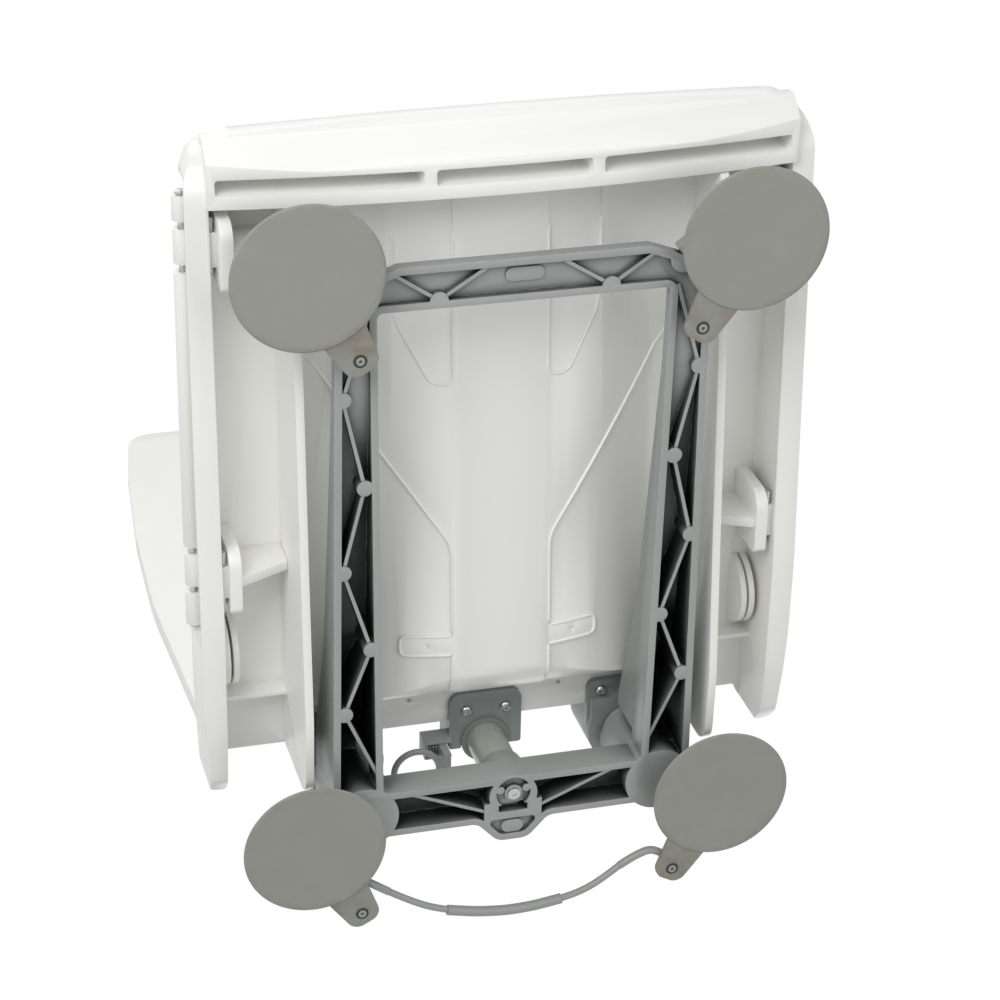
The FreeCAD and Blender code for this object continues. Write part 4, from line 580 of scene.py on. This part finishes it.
@dataclass
class Workshop:
    """Makes each finish once and dresses pieces with it.

    Attributes:
        made: the materials made so far, by name.
        weld: how close two points are when they are joined.
        flat_angle: the largest angle between facets of one flat face.
        edge_angle: the smallest angle at which an edge is rounded.
        crisp_angle: the smallest angle at which the shading is broken.
    """

    made: dict[str, bpy.types.Material] = field(default_factory=dict)
    weld: float = 0.002 * MM
    flat_angle: float = math.radians(0.5)
    edge_angle: float = math.radians(34.0)
    crisp_angle: float = math.radians(32.0)

    def material(self, finish: Finish) -> bpy.types.Material:
        """Return the Blender material of a finish, made once.

        Args:
            finish: the finish to look up or build.

        Returns:
            The material.
        """
        if finish.name not in self.made:
            self.made[finish.name] = finish.build()
        return self.made[finish.name]

    def dress(self, piece: bpy.types.Object, finish: Finish) -> bpy.types.Object:
        """Put a finish on every material slot of a piece.

        Args:
            piece: the mesh or curve to dress.
            finish: what it is made of.

        Returns:
            The piece.
        """
        piece.data.materials.clear()
        piece.data.materials.append(self.material(finish))
        return piece

    def dress_node(self, name: str, finish: Finish, edge_mm: float = 0.4) -> bpy.types.Object:
        """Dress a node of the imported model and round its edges.

        Args:
            name: the node.
            finish: what it is made of.
            edge_mm: the radius of its edges, and 0 for sharp ones.

        Returns:
            The node's object.
        """
        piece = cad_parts[name]
        self.dress(piece, finish)
        mesh = piece.data
        if "custom_normal" in mesh.attributes:
            mesh.attributes.remove(mesh.attributes["custom_normal"])
        mesh.polygons.foreach_set("use_smooth", [True] * len(mesh.polygons))
        mesh.polygons.foreach_set("material_index", [0] * len(mesh.polygons))
        weld = piece.modifiers.new("join_facets", "WELD")
        weld.merge_threshold = self.weld
        flat = piece.modifiers.new("merge_flats", "DECIMATE")
        flat.decimate_type = "DISSOLVE"
        flat.angle_limit = self.flat_angle
        if edge_mm > 0.0:
            bevel = piece.modifiers.new("edge_radius", "BEVEL")
            bevel.width = edge_mm * MM
            bevel.segments = 2
            bevel.limit_method = "ANGLE"
            bevel.angle_limit = self.edge_angle
            bevel.use_clamp_overlap = True
            bevel.miter_outer = "MITER_ARC"
        split = piece.modifiers.new("crisp_edges", "EDGE_SPLIT")
        split.split_angle = self.crisp_angle
        return piece

    def dress_all(self, finish: Finish, edge_mm: float, *names: str) -> None:
        """Dress several nodes alike and report them.

        Args:
            finish: what they are made of.
            edge_mm: the radius of their edges.
            names: the nodes.
        """
        for name in names:
            self.dress_node(name, finish, edge_mm)
            log.info("%s: %s", name, finish.name)


def mesh_piece(name: str, shape: bmesh.types.BMesh, smooth: bool = True) -> bpy.types.Object:
    """Turn a bmesh into an object in the scene.

    Args:
        name: the new object's name.
        shape: the finished bmesh, which is freed.
        smooth: whether its faces are shaded smooth.

    Returns:
        The new object.
    """
    mesh = bpy.data.meshes.new(name)
    shape.to_mesh(mesh)
    shape.free()
    mesh.polygons.foreach_set("use_smooth", [smooth] * len(mesh.polygons))
    made = bpy.data.objects.new(name, mesh)
    bpy.context.scene.collection.objects.link(made)
    return made


def turned_piece(
    name: str,
    centre: tuple[float, float],
    profile: tuple[tuple[float, float], ...],
    count: int = 48,
) -> bpy.types.Object:
    """Turn a closed outline about an upright axis.

    Args:
        name: the new object's name.
        centre: the axis, as X and Y.
        profile: radius and height pairs round the outline.
        count: the number of sections round the axis.

    Returns:
        The turned piece.
    """
    shape = bmesh.new()
    rings = []
    for i in range(count):
        turn = 2.0 * math.pi * i / count
        rings.append([
            shape.verts.new(
                (centre[0] + r * math.cos(turn), centre[1] + r * math.sin(turn), z)
            )
            for r, z in profile
        ])
    for i in range(count):
        here, after = rings[i], rings[(i + 1) % count]
        for j in range(len(profile)):
            k = (j + 1) % len(profile)
            shape.faces.new((here[j], after[j], after[k], here[k]))
    bmesh.ops.recalc_face_normals(shape, faces=shape.faces)
    return mesh_piece(name, shape)


def tube_along(
    name: str, path: list[Vector], radius: float, sides: int = 10, end_share: float = 0.35
) -> bpy.types.Object:
    """Draw a closed-ended round bar along a path.

    Args:
        name: the new object's name.
        path: the points of its middle line.
        radius: its radius.
        sides: the number of its sides.
        end_share: the share of the radius that its ends keep.

    Returns:
        The bar.
    """
    shape = bmesh.new()
    rings = []
    for i, spot in enumerate(path):
        ahead = path[min(i + 1, len(path) - 1)] - path[max(i - 1, 0)]
        side = ahead.cross(Vector((0.0, 0.0, 1.0))).normalized()
        up = side.cross(ahead).normalized()
        size = radius * (end_share if i in (0, len(path) - 1) else 1.0)
        ring = []
        for j in range(sides):
            turn = 2.0 * math.pi * j / sides
            way = side * math.cos(turn) + up * math.sin(turn)
            ring.append(shape.verts.new(spot + way * size))
        rings.append(ring)
    for a, b in zip(rings, rings[1:]):
        for j in range(sides):
            k = (j + 1) % sides
            shape.faces.new((a[j], a[k], b[k], b[j]))
    shape.faces.new(rings[0][::-1])
    shape.faces.new(rings[-1])
    bmesh.ops.recalc_face_normals(shape, faces=shape.faces)
    return mesh_piece(name, shape)


def rounded_path(
    corners: tuple[tuple[float, float, float], ...], step: float
) -> list[tuple[float, float]]:
    """Round the corners of a flat path and space its points.

    Args:
        corners: X, Y and corner radius of each corner.
        step: the spacing of the points.

    Returns:
        The points, as X and Y.
    """
    rough: list[Vector] = []
    for i, (x, y, r) in enumerate(corners):
        here = Vector((x, y))
        if r <= 0.0 or i in (0, len(corners) - 1):
            rough.append(here)
            continue
        back = (Vector(corners[i - 1][:2]) - here).normalized() * r
        ahead = (Vector(corners[i + 1][:2]) - here).normalized() * r
        for t in (0.0, 0.2, 0.4, 0.6, 0.8, 1.0):
            rough.append(here + back * (1.0 - t) ** 2 + ahead * t ** 2)
    points = [rough[0]]
    for a, b in zip(rough, rough[1:]):
        count = max(1, math.ceil((b - a).length / step))
        points.extend(a.lerp(b, k / count) for k in range(1, count + 1))
    return [(p.x, p.y) for p in points]


@dataclass
class RearCord:
    """The cord between the tabs of the rear cups, with its sleeve and ends.

    Attributes:
        route: the points that the cord follows.
        diameter: the diameter of the cord.
        length: its length between the end pieces; not used.
    """

    route: tuple[tuple[float, float, float], ...] = (
        (-0.09435, 0.26147, 0.00849),
        (-0.0740, 0.2743, 0.0064),
        (-0.0520, 0.2822, 0.0045),
        (-0.0300, 0.2871, 0.00405),
        (-0.0081, 0.2896, 0.00405),
        (0.0120, 0.2890, 0.00405),
        (0.0319, 0.2862, 0.00415),
        (0.0475, 0.2828, 0.0048),
        (0.0625, 0.2763, 0.0062),
        (0.07684, 0.26769, 0.00854),
    )
    diameter: float = 5.0 * MM
    length: float = 0.1814

    def build(self, shop: Workshop) -> bpy.types.Object:
        """Make the cord and dress what is on it.

        Args:
            shop: the workshop that holds the finishes.

        Returns:
            The cord's curve.
        """
        curve = bpy.data.curves.new("rear_cord_curve", "CURVE")
        curve.dimensions = "3D"
        curve.bevel_depth = self.diameter / 2.0
        curve.bevel_resolution = 6
        curve.resolution_u = 12
        curve.use_fill_caps = True
        line = curve.splines.new("NURBS")
        line.points.add(len(self.route) - 1)
        for spot, place in zip(line.points, self.route):
            spot.co = (*place, 1.0)
        line.order_u = 3
        line.use_endpoint_u = True
        cord = bpy.data.objects.new("rear_cord", curve)
        bpy.context.scene.collection.objects.link(cord)
        shop.dress(cord, VINYL_COVER)
        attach(cord, "base")
        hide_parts("release_cord")
        shop.dress_node("cord_grip", VINYL_COVER, 0.5)
        shop.dress_node("cord_ends", VINYL_COVER, 0.4)
        log.info("rear cord: %d points", len(self.route))
        return cord


@dataclass
class Camera:
    """The photograph's camera, solved from the cups and the frame.

    Attributes:
        place: where the camera stands.
        right: the picture's right, in the frame.
        up: the picture's top, in the frame.
        back: the direction from the object to the camera.
        lens_mm: the focal length on a 36 mm wide sensor.
    """

    place: tuple[float, float, float] = (-0.4795, -0.9164, -1.5998)
    right: tuple[float, float, float] = (0.963877, -0.019374, -0.265643)
    up: tuple[float, float, float] = (0.106840, -0.885471, 0.452246)
    back: tuple[float, float, float] = (-0.243981, -0.464290, -0.851415)
    lens_mm: float = 103.1

    def build(self) -> bpy.types.Object:
        """Make the camera and hand it to the scene.

        Returns:
            The camera.
        """
        data = bpy.data.cameras.new("photo_camera")
        data.lens = self.lens_mm
        data.sensor_width = 36.0
        data.clip_start = 0.05
        data.clip_end = 50.0
        camera = bpy.data.objects.new("photo_camera", data)
        bpy.context.scene.collection.objects.link(camera)
        axes = Matrix((self.right, self.up, self.back)).transposed()
        turn = axes.to_4x4()
        turn.translation = Vector(self.place)
        camera.matrix_world = turn
        bpy.context.scene.camera = camera
        return camera


@dataclass(frozen=True)
class Lamp:
    """A square soft lamp.

    Attributes:
        name: its name in the scene.
        place: where it stands, from the point that it lights.
        size: the side of its square.
        power: its power in watts.
    """

    name: str
    place: Vector
    size: float
    power: float

    def build(self, target: Vector) -> bpy.types.Object:
        """Make the lamp and turn it to what it lights.

        Args:
            target: the point that it lights.

        Returns:
            The lamp.
        """
        data = bpy.data.lights.new(self.name, "AREA")
        data.size = self.size
        data.energy = self.power
        lamp = bpy.data.objects.new(self.name, data)
        bpy.context.scene.collection.objects.link(lamp)
        lamp.location = target + self.place
        lamp.rotation_euler = (-self.place).to_track_quat("-Z", "Y").to_euler()
        lamp.visible_camera = False
        log.info("%s: %.1f W", self.name, self.power)
        return lamp


@dataclass
class Studio:
    """The pale floor, the white surroundings and the soft lamps.

    Attributes:
        camera: the photograph's camera, which three lamps are placed from.
        floor_size: the side of the floor.
        floor_drop: how far the floor is under the cups.
        ambient: the strength of the light that the surroundings give.
        target: the point that the lamps light.
    """

    camera: Camera
    floor_size: float = 7.0
    floor_drop: float = 0.4 * MM
    ambient: float = 0.50
    target: tuple[float, float, float] = (0.0, -0.02, 0.12)

    def build(self) -> None:
        """Make the floor, the world and the lamps."""
        self.build_floor()
        self.build_world()
        target = Vector(self.target)
        for lamp in (
            Lamp("key_lamp", self.beside_camera(-0.30, 0.30, 0.90, 1.9), 0.9, 16.5),
            Lamp("fill_lamp", self.beside_camera(0.60, 0.00, 0.80, 2.1), 1.6, 6.5),
            Lamp("far_lamp", self.beside_camera(0.10, 0.95, -0.25, 2.2), 1.4, 4.0),
            Lamp("top_lamp", Vector((-0.8, -1.2, 2.4)) - target, 1.6, 9.0),
            Lamp("rear_lamp", Vector((0.9, 2.2, 1.4)) - target, 1.6, 8.0),
        ):
            lamp.build(target)

    def beside_camera(self, across: float, above: float, towards: float, distance: float) -> Vector:
        """Work out a place from the picture's own directions.

        Args:
            across: the share of the picture's right.
            above: the share of the picture's top.
            towards: the share of the way to the camera.
            distance: how far off the place is.

        Returns:
            The place, from the point that is lit.
        """
        way = Vector(self.camera.right) * across
        way += Vector(self.camera.up) * above
        way += Vector(self.camera.back) * towards
        return way.normalized() * distance

    def build_floor(self) -> bpy.types.Object:
        """Make the floor, which is seen from above only.

        Returns:
            The floor.
        """
        shape = bmesh.new()
        bmesh.ops.create_grid(shape, x_segments=8, y_segments=8, size=self.floor_size / 2.0)
        floor = mesh_piece("pale_floor", shape)
        floor.location = (0.0, 0.0, -self.floor_drop)
        made = bpy.data.materials.new("pale_paper_sweep")
        made.use_nodes = True
        tree = made.node_tree
        tree.nodes.clear()
        place = pattern_vector(tree, Spread.PLAIN)
        # Matt paper; its fibres are drawn at 3 mm, coarse enough to show
        fibre = add_node(
            tree,
            "ShaderNodeTexNoise",
            {"Scale": 1.0 / (3.0 * MM), "Detail": 3.0},
            {"Vector": place},
        )
        relief = add_node(
            tree,
            "ShaderNodeBump",
            {"Strength": 0.3, "Distance": 0.1 * MM},
            {"Height": fibre.outputs[0]},
        )
        paper = add_node(
            tree,
            "ShaderNodeBsdfPrincipled",
            {"Base Color": linear("#EEEEEC"), "Roughness": 0.8},
            {"Normal": relief.outputs[0]},
        )
        clear = add_node(tree, "ShaderNodeBsdfTransparent")
        path = add_node(tree, "ShaderNodeLightPath")
        side = add_node(tree, "ShaderNodeNewGeometry")
        seen = add_node(
            tree,
            "ShaderNodeMath",
            {"operation": "MAXIMUM"},
            {"0": path.outputs["Is Camera Ray"], "1": path.outputs["Is Transmission Ray"]},
        )
        front = add_node(
            tree,
            "ShaderNodeMath",
            {"operation": "SUBTRACT", "0": 1.0},
            {"1": side.outputs["Backfacing"]},
        )
        share = add_node(
            tree,
            "ShaderNodeMath",
            {"operation": "MULTIPLY"},
            {"0": seen.outputs[0], "1": front.outputs[0]},
        )
        mixed = add_node(
            tree,
            "ShaderNodeMixShader",
            None,
            {"0": share.outputs[0], "1": clear.outputs[0], "2": paper.outputs[0]},
        )
        add_node(tree, "ShaderNodeOutputMaterial", None, {"Surface": mixed.outputs[0]})
        floor.data.materials.append(made)
        return floor

    def build_world(self) -> None:
        """Make the white surroundings."""
        world = bpy.data.worlds.new("white_surroundings")
        bpy.context.scene.world = world
        world.use_nodes = True
        tree = world.node_tree
        tree.nodes.clear()
        path = add_node(tree, "ShaderNodeLightPath")
        straight = add_node(
            tree,
            "ShaderNodeMath",
            {"operation": "MAXIMUM"},
            {"0": path.outputs["Is Camera Ray"], "1": path.outputs["Is Glossy Ray"]},
        )
        seen = add_node(
            tree,
            "ShaderNodeMath",
            {"operation": "MAXIMUM"},
            {"0": straight.outputs[0], "1": path.outputs["Is Transmission Ray"]},
        )
        lit, white = (
            add_node(tree, "ShaderNodeBackground", {"Color": (1, 1, 1, 1), "Strength": strength})
            for strength in (self.ambient, 1.0)
        )
        mixed = add_node(
            tree,
            "ShaderNodeMixShader",
            None,
            {"0": seen.outputs[0], "1": lit.outputs[0], "2": white.outputs[0]},
        )
        add_node(tree, "ShaderNodeOutputWorld", None, {"Surface": mixed.outputs[0]})


@dataclass
class CastBase:
    """The base casting with its plug, screw and the four suction cups.

    Attributes:
        rim_mm: the edge radius of the casting.
        lip_mm: the edge radius of the cups.
        pin_x: how far the tabs' pins are from the middle.
        pin_y: where the front and the rear pins are.
        tab_low: the height of the tabs' underside.
        washer_in: the inner radius of the dark rings of painted shadow round the pins.
        washer_out: the outer radius of those rings.
        washer_t: their thickness.
    """

    rim_mm: float = 0.5
    lip_mm: float = 0.4
    pin_x: float = 114.19 * MM
    pin_y: tuple[float, float] = (-153.06 * MM, 272.54 * MM)
    tab_low: float = 1.85 * MM
    washer_in: float = 3.15 * MM
    washer_out: float = 4.5 * MM
    washer_t: float = 0.55 * MM

    def build(self, shop: Workshop) -> None:
        """Dress the casting, the cups and what holds them.

        Args:
            shop: the workshop that holds the finishes.
        """
        shop.dress_all(COATED_CASTING, self.rim_mm, "base_frame", "frame_plug")
        for row in ("front", "rear"):
            for side in ("left", "right"):
                shop.dress_all(CUP_RUBBER, self.lip_mm, f"cup_{row}_{side}")
        shop.dress_all(PLATED_STEEL, 0.15, "cup_studs", "foot_screw")
        shop.dress_all(DULLED_STEEL, 0.15, "tab_pins")
        self.ring_pins(shop)

    def ring_pins(self, shop: Workshop) -> None:
        """Lay a thin dark ring of painted shadow round each pin, under its tab.

        Args:
            shop: the workshop that holds the finishes.
        """
        profile = (
            (self.washer_in, self.tab_low),
            (self.washer_in, self.tab_low - self.washer_t * 0.6),
            (self.washer_in + 0.2 * MM, self.tab_low - self.washer_t),
            (self.washer_out - 0.2 * MM, self.tab_low - self.washer_t),
            (self.washer_out, self.tab_low - self.washer_t * 0.6),
            (self.washer_out, self.tab_low),
        )
        for row, y in (("front", self.pin_y[0]), ("rear", self.pin_y[1])):
            for side, x in (("left", -self.pin_x), ("right", self.pin_x)):
                # Each ring is painted shadow where the tab shades the foot of its pin.
                ring = turned_piece(f"tab_shadow_ring_{row}_{side}", (x, y), profile)
                shop.dress(ring, SHADOW_RING_FINISH)
                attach(ring, "base")
                log.info("%s: %s", ring.name, SHADOW_RING_FINISH.name)


@dataclass
class ColumnSet:
    """The three telescopic columns with their brackets and their yoke.

    Attributes:
        tube_mm: the edge radius of the tubes.
        bracket_mm: the edge radius of the brackets.
    """

    tube_mm: float = 0.2
    bracket_mm: float = 0.6

    def build(self, shop: Workshop) -> None:
        """Dress the tubes, brackets, bushes and yoke.

        Args:
            shop: the workshop that holds the finishes.
        """
        for side in ("left", "right"):
            shop.dress_all(ANODISED_TUBE, self.tube_mm, f"guide_sleeve_{side}", f"guide_post_{side}")
            shop.dress_all(COATED_BRACKET, self.bracket_mm, f"post_bracket_{side}")
            shop.dress_all(GREY_NYLON, 0.3, f"post_cap_{side}", f"sleeve_bush_{side}")
        shop.dress_all(ANODISED_TUBE, self.tube_mm, "drive_tube", "piston_tube")
        shop.dress_all(COATED_BRACKET, self.bracket_mm, "centre_bracket")
        shop.dress_all(GREY_NYLON, 0.2, "drive_collar", "piston_plug")
        shop.dress_all(COATED_CASTING, 0.5, "top_yoke", "yoke_cap")
        shop.dress_all(PLATED_STEEL, 0.15, "bracket_screws", "cap_screws")


@dataclass
class SeatAndFlaps:
    """The moulded seat with its side flaps, hinge clips and rods.

    Attributes:
        lip_mm: the edge radius of the seat and the flaps.
        clip_mm: the edge radius of the clips.
        line_radius: the radius of the lines moulded on the bowl.
        line_sink: how far a line's middle is inside the skin.
        line_step: the spacing of a line's points.
        probe_low: the height from which the skin is probed, upwards.
        probe_aside: how far to each side of a point it is probed.
        lines: corners of those lines, in mm, for one side.
    """

    lip_mm: float = 0.8
    clip_mm: float = 0.5
    line_radius: float = 1.1 * MM
    line_sink: float = 0.35 * MM
    line_step: float = 3.0 * MM
    probe_low: float = 45.0 * MM
    probe_aside: float = 1.6 * MM
    lines: tuple[tuple[str, tuple[tuple[float, float, float], ...]], ...] = (
        (
            "finger",
            ((33, -200, 0), (33, -93.5, 6), (48, -93.5, 6), (72, -140, 12), (72, -200, 0)),
        ),
        ("flank", ((128, -112, 0), (106, -80, 3), (35, 25, 9), (35, 93, 0))),
        ("pad", ((35, 94.5, 0), (71, 94.5, 5), (71, 109, 5), (35, 109, 0))),
        ("band", ((35, 110, 0), (35, 141, 0))),
    )

    def build(self, shop: Workshop) -> None:
        """Dress the seat and what hinges on it.

        Args:
            shop: the workshop that holds the finishes.
        """
        self.raise_lines(shop)
        shop.dress_all(WHITE_MOULDING, self.lip_mm, "seat")
        for side in ("left", "right"):
            shop.dress_all(WHITE_MOULDING, self.lip_mm, f"flap_{side}")
            shop.dress_all(WHITE_MOULDING, self.clip_mm, f"hinge_clips_{side}")
            shop.dress_all(PLATED_STEEL, 0.15, f"hinge_rod_{side}")
        shop.dress_all(PLATED_STEEL, 0.1, "clip_pins")

    def raise_lines(self, shop: Workshop) -> None:
        """Run thin rounded lines along the edges of the bowl's raised fields.

        Args:
            shop: the workshop that holds the finishes.
        """
        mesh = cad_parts["seat"].data
        skin = BVHTree.FromPolygons(
            [v.co.copy() for v in mesh.vertices], [tuple(p.vertices) for p in mesh.polygons]
        )
        for name, corners in self.lines:
            for side, sign in (("left", -1.0), ("right", 1.0)):
                scaled = tuple((x * sign * MM, y * MM, r * MM) for x, y, r in corners)
                path = [
                    Vector((x, y, self.skin_height(skin, x, y) + self.line_sink))
                    for x, y in rounded_path(scaled, self.line_step)
                ]
                bar = tube_along(f"mould_line_{name}_{side}", path, self.line_radius)
                shop.dress(bar, WHITE_MOULDING)
                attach(bar, "carriage")
                log.info("%s: %s", bar.name, WHITE_MOULDING.name)

    def skin_height(self, skin: BVHTree, x: float, y: float) -> float:
        """Find the lowest height of the bowl's underside beside a point.

        Args:
            skin: the seat's faces.
            x: the point's X.
            y: the point's Y.

        Returns:
            The height.
        """
        low = []
        for dx, dy in ((-1.0, 0.0), (1.0, 0.0), (0.0, -1.0), (0.0, 1.0)):
            start = Vector((x + dx * self.probe_aside, y + dy * self.probe_aside, self.probe_low))
            hit = skin.ray_cast(start, Vector((0.0, 0.0, 1.0)))[0]
            if hit is not None:
                low.append(hit.z)
        return min(low)


@dataclass
class BackPanel:
    """The backrest with the straps that hold it to the outer tubes.

    Attributes:
        lip_mm: the edge radius of the panel.
    """

    lip_mm: float = 0.8

    def build(self, shop: Workshop) -> None:
        """Dress the backrest, its straps and screws.

        Args:
            shop: the workshop that holds the finishes.
        """
        shop.dress_all(WHITE_MOULDING, self.lip_mm, "backrest")
        shop.dress_all(WHITE_MOULDING, 0.5, "back_straps")
        shop.dress_all(PLATED_STEEL, 0.15, "strap_screws")


@dataclass
class DriveUnit:
    """The lifting screw with its motor, gears, battery and housing.

    Attributes:
        lip_mm: the edge radius of the housing.
    """

    lip_mm: float = 0.8

    def build(self, shop: Workshop) -> None:
        """Dress the drive and its housing.

        Args:
            shop: the workshop that holds the finishes.
        """
        shop.dress_all(WHITE_MOULDING, self.lip_mm, "drive_housing", "housing_front")
        shop.dress_all(PLATED_STEEL, 0.15, "housing_screws")
        shop.dress_all(PLATED_STEEL, 0.2, "lead_screw", "screw_bearings", "motor")
        shop.dress_all(GREY_NYLON, 0.2, "gear_wheel", "motor_pinion", "control_socket")
        shop.dress_all(TURNED_BRONZE, 0.2, "drive_nut")
        shop.dress_all(SHRINK_SLEEVE, 0.5, "battery_pack")
        shop.dress_all(SOLDER_RESIST, 0.1, "control_board")


@dataclass
class ColumnRelease:
    """The finger ring that frees the columns, with its housing and spring.

    Attributes:
        back_x: the wall that the spring leans on.
        front_x: the latch block that it pushes.
        centre: the spring's axis, as Y and Z.
        radius: the radius of its turns.
        wire: the radius of its wire.
        turns: the number of its turns.
        sides: the number of the wire's sides.
        steps_a_turn: the number of wire sections in a turn.
        keep: the share of the spring's length that is left with the ring pulled; not used.
    """

    back_x: float = -45.2 * MM
    front_x: float = -36.5 * MM
    centre: tuple[float, float] = (COLUMN_Y, 96.6 * MM)
    radius: float = 3.2 * MM
    wire: float = 0.4 * MM
    turns: int = 4
    sides: int = 8
    steps_a_turn: int = 24
    keep: float = 0.54

    def build(self, shop: Workshop) -> None:
        """Dress the ring and its housing, and wind the spring.

        Args:
            shop: the workshop that holds the finishes.
        """
        shop.dress_all(GREY_ACETAL, 0.3, "release_slider", "release_housing")
        self.wind(shop)

    def wind(self, shop: Workshop) -> bpy.types.Object:
        """Make the spring as a tube along a helix.

        Args:
            shop: the workshop that holds the finishes.

        Returns:
            The spring.
        """
        shape = bmesh.new()
        steps = self.turns * self.steps_a_turn
        length = self.front_x - self.back_x - 2.2 * self.wire
        rings = []
        for i in range(steps + 1):
            angle = 2.0 * math.pi * self.turns * i / steps
            outward = Vector((0.0, math.cos(angle), math.sin(angle)))
            x = self.front_x - 1.1 * self.wire - length * i / steps
            middle = Vector((x, self.centre[0], self.centre[1])) + outward * self.radius
            ring = []
            for j in range(self.sides):
                turn = 2.0 * math.pi * j / self.sides
                offset = outward * math.cos(turn) + Vector((1.0, 0.0, 0.0)) * math.sin(turn)
                ring.append(shape.verts.new(middle + offset * self.wire))
            rings.append(ring)
        for a, b in zip(rings, rings[1:]):
            for j in range(self.sides):
                k = (j + 1) % self.sides
                shape.faces.new((a[j], a[k], b[k], b[j]))
        shape.faces.new(rings[0][::-1])
        shape.faces.new(rings[-1])
        bmesh.ops.recalc_face_normals(shape, faces=shape.faces)
        spring = mesh_piece("latch_spring", shape)
        shop.dress(spring, PLATED_STEEL)
        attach(spring, "carriage")
        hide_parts("release_spring")
        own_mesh(spring)
        return spring


def main() -> None:
    """Build the view, the cord, the pieces and the studio, in order."""
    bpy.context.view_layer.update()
    bpy.context.scene.view_settings.view_transform = "Standard"
    camera = Camera()
    camera.build()
    shop = Workshop()
    RearCord().build(shop)
    for part in (CastBase(), ColumnSet(), SeatAndFlaps(), BackPanel(), DriveUnit(), ColumnRelease()):
        part.build(shop)
    Studio(camera).build()


if __name__ == "__main__":
    main()
